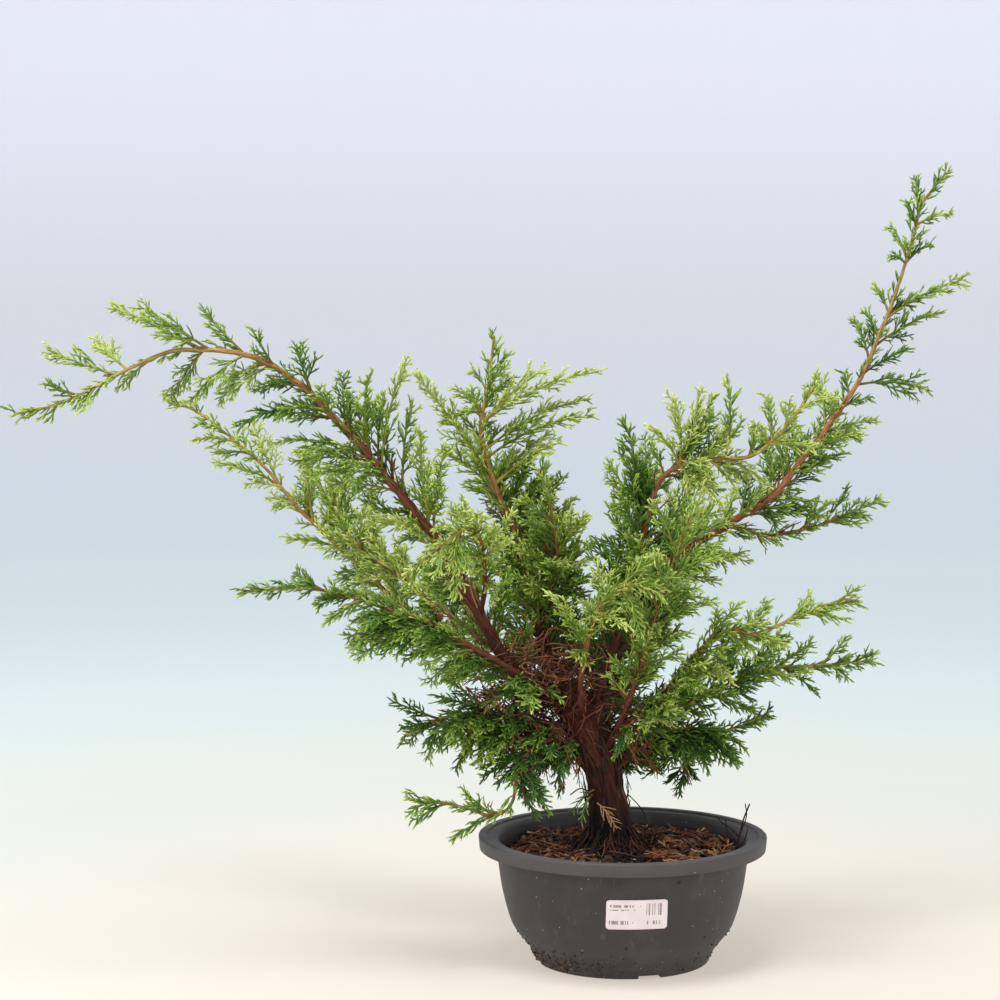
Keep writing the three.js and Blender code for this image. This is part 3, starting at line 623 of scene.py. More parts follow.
# The tube under the trunk's bark is drawn in, to make room for the relief and because the real trunk
# has a narrower waist than its node: heights above the soil's edge and shares of the radius.
WAIST_HEIGHTS = [20 * MM, 57 * MM, 80 * MM, 110 * MM]
WAIST_SHARES = [0.88, 0.76, 0.86, 0.97]
# A limb's radius for its thickness, before its relief.
LIMB_SHARE = 0.43

# Swellings on the trunk where limbs were cut: share along, turn from the front, height and breadth.
KNOTS = [(0.40, 1.2, 0.16, 0.05), (0.52, -0.3, 0.14, 0.04), (0.62, 0.9, 0.2, 0.045),
         (0.66, -1.6, 0.18, 0.05), (0.76, 0.3, 0.22, 0.05), (0.86, 2.0, 0.16, 0.05),
         (0.88, -0.6, 0.2, 0.04), (0.3, 2.6, 0.14, 0.05)]


def trunk_relief(share, turn, reach):
    """Long sunken furrows, peeling plates and knots."""
    c, s = math.cos(turn + 1.1 * share), math.sin(turn + 1.1 * share)
    flute = noise.noise((1.5 * c, 1.5 * s, reach / (90 * MM)))
    furrow = noise.turbulence((3.2 * c + 7, 3.2 * s, reach / (42 * MM)), 3, True)
    plate = noise.noise((4.5 * c - 3, 4.5 * s, reach / (26 * MM)))
    edge = 0.035 if plate > 0.08 else 0.0
    lump = noise.noise((3 * c + 21, 3 * s, reach / (11 * MM)))
    swell = 1 + 0.15 * flute - 0.12 * (furrow - 0.45) + edge + 0.06 * lump
    for at, round_at, height, breadth in KNOTS:
        apart = (turn - round_at + math.pi) % TURN - math.pi
        near = ((share - at) / breadth) ** 2 + (apart / 0.42) ** 2
        swell += height * math.exp(-near)
    return swell


def trunk_line():
    points = np.array(TRUNK, dtype=float)
    line = spline(np.hstack([above_soil(points[:, :3]), points[:, 3:] * MM]))
    return evenly(line, TRUNK_RINGS)[0]


def make_trunk(material):
    line = trunk_line()
    radius = line[:, 3] * np.interp(line[:, 2] - SOIL_EDGE, WAIST_HEIGHTS, WAIST_SHARES)
    trunk = bark_tube("trunk_bark", line[:, :3], radius, TRUNK_AROUND, trunk_relief, material)
    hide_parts("trunk")


def limb_line(name, spacing=3 * MM):
    """A limb's axis, its radii and its length."""
    base, tip, route = LIMBS[name]
    line = spline(above_soil(route))
    length = lengths_along(line)[-1]
    line, share = evenly(line, max(12, int(length / spacing)))
    return line, LIMB_SHARE * MM * (base + (tip - base) * share**0.6), length


def make_limb(name, number, material):
    line, radius, _ = limb_line(name)
    rng = np.random.default_rng(SEEDS["limbs"] + number)
    wobble = np.stack([np.convolve(rng.normal(0, 1, len(line)), np.ones(5) / 5, "same")
                       for _ in range(3)], axis=1)
    fade = np.minimum(1, np.arange(len(line)) / 8)[:, None]
    line = line + wobble * radius[:, None] * 0.22 * fade

    def relief(share, turn, reach):
        c, s = math.cos(turn), math.sin(turn)
        ridge = noise.turbulence((1.7 * c + 5 * number, 1.7 * s, reach / (16 * MM)), 3, True)
        lump = noise.noise((c + 5 * number, s, reach / (6 * MM)))
        return 1 + 0.3 * (ridge - 0.45) + 0.16 * lump

    limb = bark_tube(f"limb_bark_{name}", line, radius, LIMB_AROUND, relief, material)
    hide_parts(f"limb_{name}")


# ---- Shoots -----------------------------------------------------------------------------------------


class Shoots:
    """A batch of shoots, each a bent line from foot to tip that lies in a flat spray."""

    FIELDS = ("foot", "bend", "tip", "flat", "tone")

    def __init__(self, foot, bend, tip, flat, tone):
        self.foot, self.bend, self.tip = foot, bend, tip
        self.flat, self.tone = flat, tone
        self.length = np.linalg.norm(tip - foot, axis=1)

    def at(self, which, t):
        t = t[:, None]
        return ((1 - t) ** 2 * self.foot[which] + 2 * t * (1 - t) * self.bend[which]
                + t**2 * self.tip[which])

    def only(self, keep):
        return Shoots(*[getattr(self, field)[keep] for field in self.FIELDS])

    def heading(self, which, t):
        t = t[:, None]
        return unit((1 - t) * (self.bend[which] - self.foot[which])
                    + t * (self.tip[which] - self.bend[which]))


def together(batches):
    return Shoots(*[np.concatenate([getattr(b, f) for b in batches]) for f in Shoots.FIELDS])


def side_shoots(parents, rng, spacing, stretch, angle, reach, roll=0.3, forward=0.3, tone=0.0):
    """Shoots on alternate sides of their parents. reach gives their length from the parent's length
    and the share along it, roll is how far they leave the spray's plane, forward how far they curve
    towards its tip, and tone how much paler they get towards it."""
    start, stop = stretch
    counts = np.maximum(1, (parents.length * (stop - start) / spacing).astype(int))
    which = np.repeat(np.arange(len(counts)), counts)
    order = np.arange(len(which)) - np.repeat(np.cumsum(counts) - counts, counts)
    t = start + (stop - start) * (order + rng.uniform(0.2, 0.8, len(which))) / counts[which]
    foot, heading = parents.at(which, t), parents.heading(which, t)
    flat = parents.flat[which]
    flat = unit(flat - heading * np.sum(flat * heading, 1)[:, None])
    side = np.cross(flat, heading) * np.where((order + which) % 2, 1, -1)[:, None]
    tilt = rng.normal(0, roll, len(which))[:, None]
    side = side * np.cos(tilt) + flat * np.sin(tilt)
    turn = np.radians(rng.normal(angle, 7, len(which)))[:, None]
    out = unit(heading * np.cos(turn) + side * np.sin(turn))
    length = (reach(parents.length[which], t) * rng.uniform(0.7, 1.25, len(which)))[:, None]
    bend = foot + out * length * 0.5
    tip = bend + unit(out * (1 - forward) + heading * forward) * length * 0.5
    plane = unit(flat + rng.normal(0, 0.2, foot.shape))
    pale = parents.tone[which] + tone * (2 * t - 0.6) + rng.normal(0, 0.07, len(which))
    return Shoots(foot, bend, tip, plane, pale)


def tapering(share, most, drop):
    """A side shoot's reach as a share of its parent's length, and less towards the parent's tip."""
    return lambda length, t: share * length * (most - drop * t)


def shoot_mesh(shoots, thick, thin, profile, around, band=(0.02, 0.98), flatten=1.0):
    """Tubes for a batch of shoots. profile holds the thickness at each ring as a share, foot to tip.
    The colour map runs through the band by the shoot's tone, and from foot to tip."""
    rings, total = len(profile), len(shoots.length)
    t = np.linspace(0, 1, rings)
    every = np.arange(total)
    centres = np.stack([shoots.at(every, np.full(total, s)) for s in t], axis=1)
    heading = np.stack([shoots.heading(every, np.full(total, s)) for s in t], axis=1)
    flat = shoots.flat[:, None, :]
    flat = unit(flat - heading * np.sum(flat * heading, -1)[..., None])
    across = np.cross(heading, flat)
    turns = np.linspace(0, TURN, around, endpoint=False) + TURN / (2 * around)
    ring = (np.cos(turns)[:, None] * flatten * flat[:, :, None] + np.sin(turns)[:, None]
            * across[:, :, None])
    radius = 0.5 * np.asarray(profile) * (thick + (thin - thick) * t)
    places = centres[:, :, None] + ring * radius[:, None, None]
    points = shoots.tip + unit(shoots.tip - shoots.bend) * thin
    places = np.concatenate([places.reshape(total, -1, 3), points[:, None]], axis=1)
    size = rings * around + 1
    quads = tube_faces(rings, around)
    j = np.arange(around)
    last = (rings - 1) * around
    caps = np.stack([last + j, last + (j + 1) % around, np.full(around, size - 1)], axis=1)
    offsets = (np.arange(total) * size)[:, None, None]
    low, high = band
    tone = low + (high - low) * np.clip(shoots.tone, 0.01, 0.96)
    row = np.repeat(np.arange(rings - 1), around)
    share = 0.01 + 0.95 * np.stack([t[row], t[row], t[row + 1], t[row + 1]], axis=1)
    sliver = 0.001
    quad_u = tone[:, None, None] + sliver * np.array([0, 1, 1, 0]) + 0 * share
    quad_v = np.broadcast_to(share, quad_u.shape)
    cap_u = tone[:, None, None] + sliver * np.array([0, 1, 0.5]) + np.zeros((around, 1))
    cap_v = np.broadcast_to(np.array([0.97, 0.97, 0.99]), cap_u.shape)
    return (places.reshape(-1, 3), (quads[None] + offsets).reshape(-1, 4),
            (caps[None] + offsets).reshape(-1, 3), np.stack([quad_u, quad_v], -1).reshape(-1, 2),
            np.stack([cap_u, cap_v], -1).reshape(-1, 2))


def shoot_piece(name, batches, material):
    """One piece from several shoot meshes."""
    first = np.cumsum([0] + [len(batch[0]) for batch in batches])
    quads = np.vstack([batch[1] + start for batch, start in zip(batches, first)])
    caps = np.vstack([batch[2] + start for batch, start in zip(batches, first)])
    colours = np.vstack([batch[3] for batch in batches] + [batch[4] for batch in batches])
    places = np.vstack([batch[0] for batch in batches])
    return make_piece(name, places, [quads, caps], material, {"OFBake": colours})


# ---- Foliage ----------------------------------------------------------------------------------------

# The parts of the colour map that hold the leaves and the shoots that bear them.
LEAF_BAND = (0.02, 0.60)
WOOD_BAND = (0.66, 0.98)


def scale_leaves():
    """Scale leaves pressed to the twig, grown and waxy: deep green at the foot, yellow green where
    young. The shoots that bear them run from tan wood to green."""
    material = new_material("waxy_juniper_scale_leaves")
    place = node(material, "UVMap", uv_map="OFBake")
    split = node(material, "SeparateXYZ", {"Vector": place})
    tone = node(material, "MapRange", {
        "Value": split.outputs["X"], "From Min": LEAF_BAND[0], "From Max": LEAF_BAND[1]})
    # The palest ends of both ramps are partly painted highlight, for the shine on the lit tips, and
    # partly the young growth's own yellow green.
    deep = node(material, "ValToRGB", {"Fac": tone}, stops=[
        (0.0, "#1a320b"), (0.3, "#355212"), (0.6, "#5b7b1c"), (1.0, "#9fae40")])
    young = node(material, "ValToRGB", {"Fac": tone}, stops=[
        (0.0, "#345f1a"), (0.3, "#689330"), (0.6, "#abc550"), (1.0, "#e6ea96")])
    leaf = node(material, "Mix", {
        "Factor": split.outputs["Y"], "A": deep, "B": young}, data_type="RGBA")
    age = node(material, "MapRange", {
        "Value": split.outputs["X"], "From Min": WOOD_BAND[0], "From Max": WOOD_BAND[1]})
    foot = node(material, "ValToRGB", {"Fac": age}, stops=[
        (0.0, "#4a2c18"), (0.4, "#7c5a26"), (0.7, "#a58c3c"), (1.0, "#cbb25c")])
    end = node(material, "ValToRGB", {"Fac": age}, stops=[
        (0.0, "#33571f"), (0.5, "#75913a"), (1.0, "#bfca60")])
    greening = node(material, "MapRange", {
        "Value": split.outputs["Y"], "From Min": 0.05, "From Max": 0.45})
    wood = node(material, "Mix", {"Factor": greening, "A": foot, "B": end}, data_type="RGBA")
    is_wood = node(material, "Math", {
        0: split.outputs["X"], 1: 0.5 * (LEAF_BAND[1] + WOOD_BAND[0])}, operation="GREATER_THAN")
    colour = node(material, "Mix", {"Factor": is_wood, "A": leaf, "B": wood}, data_type="RGBA")
    shader = node(material, "BsdfPrincipled", {
        "Base Color": colour, "Roughness": 0.5, "Specular IOR Level": 0.35})
    node(material, "OutputMaterial", {"Surface": shader})
    return material


def side_branches(line, length, stretch, tips, tone, rng):
    """The side branches of a stretch of limb, one to each tip, leaving behind the point nearest it."""
    share = np.linspace(0, 1, len(line))
    heading = directions(line)
    feet, bends, flats = [], [], []
    for tip in tips:
        distance = np.linalg.norm(line - tip, axis=1)
        nearest = int(np.argmin(distance))
        back = min(0.95 * distance[nearest], 55 * MM) / length
        leave = min(max(share[nearest] - back, stretch[0]), stretch[1])
        foot = np.array([np.interp(leave, share, column) for column in line.T])
        reach = np.linalg.norm(tip - foot)
        along = heading[min(len(line) - 1, int(leave * len(line)))]
        feet.append(foot)
        bends.append(0.5 * (foot + tip) + UP * 0.05 * reach + along * 0.1 * reach)
        straight = unit(tip - foot)
        level = UP - straight * straight[2]
        flats.append(unit(level + rng.normal(0, 0.45, 3)))
    tones = np.full(len(tips), tone) + rng.normal(0, 0.1, len(tips))
    return Shoots(np.array(feet), np.array(bends), np.asarray(tips), np.array(flats), tones)


def fill_tips(line, stretch, count, reach, hanging, rng=None):
    """Tips of sprays set round a stretch of limb and leaning forward, each a golden angle on from the
    last, or scattered when there is a random source. Hanging ones stay below the limb."""
    share = stretch[0] + (stretch[1] - stretch[0]) * (np.arange(count) + 0.5) / max(count, 1)
    turn = 2.4 * np.arange(count)
    reach = np.full(count, reach * MM)
    if rng is not None:
        share = np.clip(share + rng.normal(0, 0.04, count), 0.08, 1)
        turn = rng.uniform(0, TURN, count)
        reach = reach * rng.uniform(0.6, 1.15, count)
    at = np.linspace(0, 1, len(line))
    foot = np.stack([np.interp(share, at, column) for column in line.T], axis=1)
    heading = np.stack([np.interp(share, at, column) for column in directions(line).T], axis=1)
    side = unit(np.stack([heading[:, 1], -heading[:, 0], np.zeros(count)], axis=1))
    above = np.cross(side, heading)
    out = np.cos(turn)[:, None] * side + np.sin(turn)[:, None] * above
    away = (0.45 * heading + 0.9 * out) * reach[:, None]
    if hanging:
        away[:, 2] = -np.abs(away[:, 2])
    return foot + away


def bearing_stretch(line, stretch, tone, count=3):
    """The stretch of a limb that bears foliage, as a batch of shoots."""
    share = np.linspace(0, 1, len(line))

    def spots(at):
        return np.stack([np.interp(at, share, column) for column in line.T], axis=1)

    cuts = np.linspace(stretch[0], stretch[1], count + 1)
    feet, tips = spots(cuts[:-1]), spots(cuts[1:])
    heading = unit(tips - feet)
    flat = unit(UP - heading * heading[:, 2:] + 1e-3)
    bends = 2 * spots(0.5 * (cuts[:-1] + cuts[1:])) - 0.5 * (feet + tips)
    return Shoots(feet, bends, tips, flat, np.full(count, tone))


def grow_sprays(branches, bearing, rng):
    """Side shoots on each branch, branchlets of scale leaves on the shoots and forks on those."""
    shoots = together([
        side_shoots(branches, rng, 6 * MM, (0.15, 0.97), 40,
                    lambda length, t: np.clip(0.36 * length, 9 * MM, 20 * MM) * (1.2 - 0.75 * t),
                    roll=0.7, forward=0.4, tone=0.12),
        side_shoots(bearing, rng, 6 * MM, (0.0, 1.0), 45,
                    lambda length, t: np.full(len(t), 13 * MM), roll=1.4, forward=0.4)])
    leaders = together([branches, shoots])
    branchlets = side_shoots(
        leaders, rng, 2.7 * MM, (0.1, 1.0), 40,
        lambda length, t: np.clip(0.5 * length, 6.5 * MM, 10.5 * MM) * (1.15 - 0.5 * t), roll=0.7,
        tone=0.16)
    forks = side_shoots(
        branchlets, rng, 3.0 * MM, (0.25, 0.85), 38,
        tapering(0.52, 1.15, 0.4), roll=0.5, tone=0.08)
    beaded = [1.0, 0.86, 1.06, 0.62]
    return [
        shoot_mesh(branches, 2.3 * MM, 1.4 * MM, [1.1, 1, 1, 0.95, 1, 0.9, 0.8], 5, WOOD_BAND),
        shoot_mesh(shoots, 1.5 * MM, 1.3 * MM, [1, 0.9, 1, 0.7], 4, WOOD_BAND),
        shoot_mesh(branchlets, 1.6 * MM, 1.2 * MM, beaded, 4, LEAF_BAND),
        shoot_mesh(forks, 1.45 * MM, 1.05 * MM, [1.0, 0.85, 0.55], 3, LEAF_BAND)]


def shaded_sprays(name, line, length, tone, rng):
    """The branches of the shaded sprays inside the crown, behind the limb or hanging from it."""
    start, end, count, reach, deeper = INNER_SPRAYS[name]
    ends = fill_tips(line, (start, end), count, reach, name in HANGING_SPRAYS, rng)
    near = np.array([line[np.argmin(np.linalg.norm(line - tip, axis=1))] for tip in ends])
    if name not in HANGING_SPRAYS:
        ends[:, 1] = near[:, 1] + np.abs(ends[:, 1] - near[:, 1])
    return side_branches(line, length, (start, end), ends, tone - deeper, rng)


def make_foliage(name, number, material):
    limb, stretch, tone, (count, reach), tips = FOLIAGE[name]
    rng = np.random.default_rng(SEEDS["foliage"] + number)
    line, _, length = limb_line(limb)
    inner = (stretch[0], stretch[0] + 0.6 * (stretch[1] - stretch[0]))
    hanging = name in HANGING_SPRAYS
    set_out = fill_tips(line, inner, count, 0.85 * reach, hanging)
    thicket = fill_tips(line, inner, 3 * count, 0.7 * reach, hanging, rng)
    ends = np.vstack([above_soil(tips), set_out, thicket])
    branches = side_branches(line, length, stretch, ends, tone, rng)
    bearing = bearing_stretch(line, stretch, tone)
    if stretch[1] == 1:
        branches = together([branches, bearing])
    if name in INNER_SPRAYS:
        branches = together([branches, shaded_sprays(name, line, length, tone, rng)])
    foliage = shoot_piece(f"scale_leaves_{name}", grow_sprays(branches, bearing, rng), material)
    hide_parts(f"foliage_{name}")


# ---- Pot --------------------------------------------------------------------------------------------


def wall_curve():
    """Outside of the pot's wall as (radius, height): the foot, the shoulder and the bowl."""
    span, bowl = WALL_TOP - FOOT_RADIUS, POT_HEIGHT - BELLY_HEIGHT
    corners = [
        (0.0, 0.0), (0.17, FOOT_HEIGHT), (0.28, SHOULDER_HEIGHT), (0.6, BELLY_HEIGHT),
        (0.82, BELLY_HEIGHT + 0.34 * bowl), (0.94, BELLY_HEIGHT + 0.68 * bowl),
        (1.0, POT_HEIGHT - LIP_STEP - LIP_SKIN)]
    points = np.array([(FOOT_RADIUS + share * span, level) for share, level in corners])
    return np.vstack([points[:2], spline(points[2:], 8)])


def wall_radius(level, offset=0.0):
    wall = wall_curve()
    return np.interp(level, wall[:, 1], wall[:, 0]) + offset


def rounded(profile, radius, steps=3):
    """The same open profile with its corners rounded."""
    points = [np.asarray(profile[0])]
    for before, corner, after in zip(profile, profile[1:], profile[2:]):
        corner = np.asarray(corner)
        back, on = np.asarray(before) - corner, np.asarray(after) - corner
        cut = min(radius, 0.45 * np.linalg.norm(back), 0.45 * np.linalg.norm(on))
        start, end = corner + unit(back) * cut, corner + unit(on) * cut
        for t in np.linspace(0, 1, steps + 1):
            points.append((1 - t) ** 2 * start + 2 * t * (1 - t) * corner + t**2 * end)
    points.append(np.asarray(profile[-1]))
    return np.array(points)


def turned_mesh(profile, around):
    """Places and faces of a closed shape turned from a profile that starts and ends on the axis."""
    turns = np.linspace(0, TURN, around, endpoint=False)
    inner = profile[1:-1]
    rings = np.stack([inner[:, :1] * np.cos(turns), inner[:, :1] * np.sin(turns),
                      np.repeat(inner[:, 1:], around, axis=1)], axis=-1)
    ends = np.array([(0, 0, profile[0][1]), (0, 0, profile[-1][1])])
    places = np.vstack([rings.reshape(-1, 3), ends])
    return places, [tube_faces(len(inner), around), end_caps(len(inner), around)]


def moulded_plastic():
    """Recycled polypropylene, injection moulded: a dull charcoal skin under dust, dried drips of
    limescale and grit."""
    material = new_material("moulded_charcoal_polypropylene")
    place = node(material, "TexCoord")
    dust = node(material, "TexNoise", {
        "Vector": place.outputs["Object"], "Scale": 1 / (30 * MM), "Detail": 6.0,
        "Roughness": 0.62})
    base = node(material, "ValToRGB", {"Fac": dust}, stops=[
        (0.3, "#2b2928"), (0.5, "#363331"), (0.7, "#474240")])
    drip = node(material, "Mapping", {
        "Vector": place.outputs["Object"], "Scale": (1 / (6 * MM), 1 / (6 * MM), 1 / (34 * MM))})
    drips = node(material, "TexNoise", {
        "Vector": drip, "Scale": 1.0, "Detail": 4.0, "Roughness": 0.6})
    stain = node(material, "MapRange", {
        "Value": drips, "From Min": 0.63, "From Max": 0.8, "To Max": 0.34})
    stained = node(material, "Mix", {
        "Factor": stain, "A": base, "B": hex_colour("#9a8878")}, data_type="RGBA")
    height = node(material, "SeparateXYZ", {"Vector": place.outputs["Object"]})
    lip = node(material, "MapRange", {
        "Value": height.outputs["Z"], "From Min": POT_HEIGHT - LIP_HEIGHT - 1 * MM,
        "From Max": POT_HEIGHT - LIP_HEIGHT + 1 * MM, "To Max": 0.42})
    paler = node(material, "Mix", {
        "Factor": lip, "A": stained, "B": hex_colour("#5c5858")}, data_type="RGBA")
    specks = node(material, "TexVoronoi", {
        "Vector": place.outputs["Object"], "Scale": 1 / (6 * MM)})
    grit = node(material, "Math", {0: specks, 1: 0.075}, operation="LESS_THAN")
    kept = node(material, "SeparateColor", {"Color": specks.outputs["Color"]})
    some = node(material, "Math", {0: kept.outputs["Red"], 1: 0.72}, operation="GREATER_THAN")
    shown = node(material, "Math", {0: grit, 1: some}, operation="MULTIPLY")
    speckled = node(material, "Mix", {
        "Factor": shown, "A": paler, "B": hex_colour("#b5ada2")}, data_type="RGBA")
    gloss = node(material, "MapRange", {
        "Value": dust, "From Min": 0.3, "From Max": 0.7, "To Min": 0.46, "To Max": 0.66})
    skin = node(material, "TexNoise", {
        "Vector": place.outputs["Object"], "Scale": 1 / (1.1 * MM), "Detail": 3.0})
    bump = node(material, "Bump", {"Height": skin, "Strength": 0.3, "Distance": 0.2 * MM})
    shader = node(material, "BsdfPrincipled", {
        "Base Color": speckled, "Roughness": gloss, "Normal": bump, "IOR": 1.49})
    node(material, "OutputMaterial", {"Surface": shader})
    return material


def cut_away(piece, cutter):
    """Cuts one mesh out of another and removes the cutter."""
    modifier = piece.modifiers.new("cut", "BOOLEAN")
    modifier.operation = "DIFFERENCE"
    modifier.object = cutter
    graph = bpy.context.evaluated_depsgraph_get()
    cut = bpy.data.meshes.new_from_object(piece.evaluated_get(graph))
    piece.modifiers.clear()
    cut.name = piece.name
    piece.data = cut
    bpy.data.objects.remove(cutter)


def make_outlets():
    """Cutters for the outlets through the foot ring and the drain holes in the floor."""
    cutters = bmesh.new()
    for i in range(OUTLETS):
        turn = TURN * i / OUTLETS + OUTLET_TURN
        made = bmesh.ops.create_cube(cutters, size=1.0)["verts"]
        bmesh.ops.scale(cutters, verts=made, vec=(OUTLET_WIDTH, 3 * FOOT_RING, 2 * FLOOR_LIFT))
        bmesh.ops.translate(cutters, verts=made, vec=(0, -FOOT_RADIUS, 0))
        bmesh.ops.rotate(cutters, verts=made, matrix=Matrix.Rotation(turn, 3, "Z"))
    for i in range(DRAINS):
        turn = TURN * i / DRAINS
        made = bmesh.ops.create_cone(cutters, cap_ends=True, segments=28, radius1=DRAIN_RADIUS,
                                     radius2=DRAIN_RADIUS, depth=4 * WALL)["verts"]
        centre = (DRAIN_CIRCLE * math.cos(turn), DRAIN_CIRCLE * math.sin(turn), FLOOR_LIFT + WALL)
        bmesh.ops.translate(cutters, verts=made, vec=centre)
    mesh = bpy.data.meshes.new("outlets")
    cutters.to_mesh(mesh)
    cutters.free()
    cutter = bpy.data.objects.new("outlets", mesh)
    bpy.context.scene.collection.objects.link(cutter)
    return cutter


def make_pot(material):
    skirt = POT_HEIGHT - LIP_HEIGHT
    inner_top = POT_HEIGHT - LIP_STEP
    floor_top = FLOOR_LIFT + WALL
    outer = wall_curve()
    inner = np.vstack([(wall_radius(floor_top, -WALL), floor_top), outer[1:-2] - (WALL, 0),
                       (WALL_TOP - WALL, inner_top - WALL), (WALL_TOP, inner_top)])
    sharp = [
        (PAD_RADIUS, 0), (PAD_RADIUS, FLOOR_LIFT), (FOOT_RADIUS - FOOT_RING, FLOOR_LIFT),
        (FOOT_RADIUS - FOOT_RING, 0), *outer,
        (RIM_RADIUS - LIP_SKIN, POT_HEIGHT - LIP_STEP - LIP_SKIN), (RIM_RADIUS - LIP_SKIN, skirt),
        (RIM_RADIUS - 1 * MM, skirt), (RIM_RADIUS, POT_HEIGHT),
        (RIM_RADIUS - LIP_LEDGE, POT_HEIGHT), (RIM_RADIUS - LIP_LEDGE, inner_top), *inner[::-1],
        (0, floor_top)]
    profile = np.vstack([(0, 0), rounded(sharp, 1.4 * MM)])
    places, faces = turned_mesh(profile, 192)
    pot = make_piece("moulded_pot", places, faces, material)
    cut_away(pot, make_outlets())
    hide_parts("pot")


# ---- Label ------------------------------------------------------------------------------------------

LABEL_WIDTH = 50 * MM
LABEL_HEIGHT = 25 * MM
LABEL_CORNER = 2.5 * MM
LABEL_THICKNESS = 0.4 * MM
LABEL_TURN = math.radians(4.3)
LABEL_MIDDLE = 60 * MM


def printed_label():
    """Coated paper sticker, printed with plain bars: off-white, a little rosy, with soft grey ink."""
    material = new_material("printed_coated_paper_sticker")
    place = node(material, "UVMap", uv_map="print")
    split = node(material, "SeparateXYZ", {"Vector": place})
    inked = None
    # Blocks of bars in millimetres from the lower left corner: left, right, bottom, top, bar width.
    for left, right, bottom, top, bar in [(3, 28, 18.8, 20.8, 1.1), (3, 24, 16.0, 17.0, 0.9),
                                          (31, 45, 12, 22, 0.6), (2.5, 19, 4.2, 7.4, 0.9),
                                          (21, 27, 5.4, 6.2, 1.1), (33, 45, 4.2, 7.4, 0.9)]:
        block = None
        for axis, low, high in [("X", left, right), ("Y", bottom, top)]:
            for edge, operation in [(low, "GREATER_THAN"), (high, "LESS_THAN")]:
                side = node(material, "Math", {
                    0: split.outputs[axis], 1: edge * MM}, operation=operation)
                block = side if block is None else node(material, "Math", {
                    0: block, 1: side}, operation="MULTIPLY")
        step = node(material, "Math", {
            0: split.outputs["X"], 1: 1 / (bar * MM)}, operation="MULTIPLY")
        number = node(material, "Math", {0: step}, operation="FLOOR")
        pick = node(material, "TexWhiteNoise", {"W": number}, noise_dimensions="1D")
        filled = node(material, "Math", {0: pick, 1: 0.45}, operation="GREATER_THAN")
        bars = node(material, "Math", {0: block, 1: filled}, operation="MULTIPLY")
        inked = bars if inked is None else node(material, "Math", {
            0: inked, 1: bars}, operation="MAXIMUM")
    worn = node(material, "TexNoise", {"Vector": place, "Scale": 1 / (1.2 * MM), "Detail": 3.0})
    ink = node(material, "MapRange", {
        "Value": worn, "From Min": 0.3, "From Max": 0.6, "To Min": 0.45, "To Max": 0.8})
    amount = node(material, "Math", {0: inked, 1: ink}, operation="MULTIPLY")
    stain = node(material, "TexNoise", {"Vector": place, "Scale": 1 / (14 * MM), "Detail": 4.0})
    paper = node(material, "ValToRGB", {"Fac": stain}, stops=[
        (0.3, "#efdfe0"), (0.6, "#f7eaea")])
    colour = node(material, "Mix", {
        "Factor": amount, "A": paper, "B": hex_colour("#4a4a52")}, data_type="RGBA")
    fibre = node(material, "TexNoise", {"Vector": place, "Scale": 1 / (0.5 * MM), "Detail": 2.0})
    bump = node(material, "Bump", {"Height": fibre, "Strength": 0.15, "Distance": 0.1 * MM})
    shader = node(material, "BsdfPrincipled", {
        "Base Color": colour, "Roughness": 0.42, "Normal": bump})
    node(material, "OutputMaterial", {"Surface": shader})
    return material


def make_label(material):
    """A rounded sticker that follows the bowl, its corners lifting a little."""
    columns, rows = 48, 26
    half_width, half_height = LABEL_WIDTH / 2, LABEL_HEIGHT / 2
    points = []
    for face in (1, 0):
        for v in np.linspace(-1, 1, rows):
            level = v * half_height
            into = max(0.0, abs(level) - (half_height - LABEL_CORNER))
            inset = LABEL_CORNER - math.sqrt(max(0.0, LABEL_CORNER**2 - into**2))
            for u in np.linspace(-1, 1, columns):
                side = u * (half_width - inset)
                corner = max(0.0, abs(u) - 0.8) * max(0.0, abs(v) - 0.7) / 0.06
                lift = 0.35 * MM * corner + CLEARANCE + face * LABEL_THICKNESS
                height = LABEL_MIDDLE + level
                radius = wall_radius(height, lift)
                turn = side / radius + LABEL_TURN
                points.append((radius * math.sin(turn), -radius * math.cos(turn), height,
                               side + half_width, level + half_height))
    points = np.array(points)
    places, prints = points[:, :3], points[:, 3:]
    total = columns * rows
    i = np.repeat(np.arange(rows - 1), columns - 1) * columns
    j = np.tile(np.arange(columns - 1), rows - 1)
    front = np.stack([i + j, i + j + 1, i + columns + j + 1, i + columns + j], 1)
    rim = np.concatenate([np.arange(columns), np.arange(2, rows) * columns - 1,
                          np.arange(total - 1, total - columns - 1, -1),
                          np.arange(rows - 2, 0, -1) * columns])
    after = np.roll(rim, -1)
    edge = np.stack([rim, rim + total, after + total, after], 1)
    faces = np.vstack([front, front[:, ::-1] + total, edge])
    label = make_piece("sticker", places, [faces], material,
                       {"print": prints[faces.reshape(-1)]})
    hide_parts("label")


# ---- Soil and roots ---------------------------------------------------------------------------------

SOIL_RADIUS = wall_radius(SOIL_EDGE, -WALL - CLEARANCE)
MOUND_CENTRE = np.array([-10, 0]) * MM
MOUND_RADIUS = 36 * MM
MOUND_HEIGHT = 24 * MM


def soil_level(x, y):
    """Height of the soil's surface: a low dome with clods, a little higher at the back right."""
    share = np.hypot(x, y) / SOIL_RADIUS
    dome = np.interp(share, [0, 0.4, 0.75, 1], [1, 0.85, 0.5, 0]) * SOIL_DOME
    clods = [noise.noise((a / (16 * MM), b / (16 * MM), 0.5)) + 0.6 * noise.noise(
        (a / (6 * MM), b / (6 * MM), 4.5)) for a, b in zip(np.ravel(x), np.ravel(y))]
    heap = 5 * MM * np.exp(-((x - 55 * MM) ** 2 + (y - 15 * MM) ** 2) / (38 * MM) ** 2)
    return SOIL_EDGE + dome + 2.2 * MM * np.reshape(clods, np.shape(x)) + heap


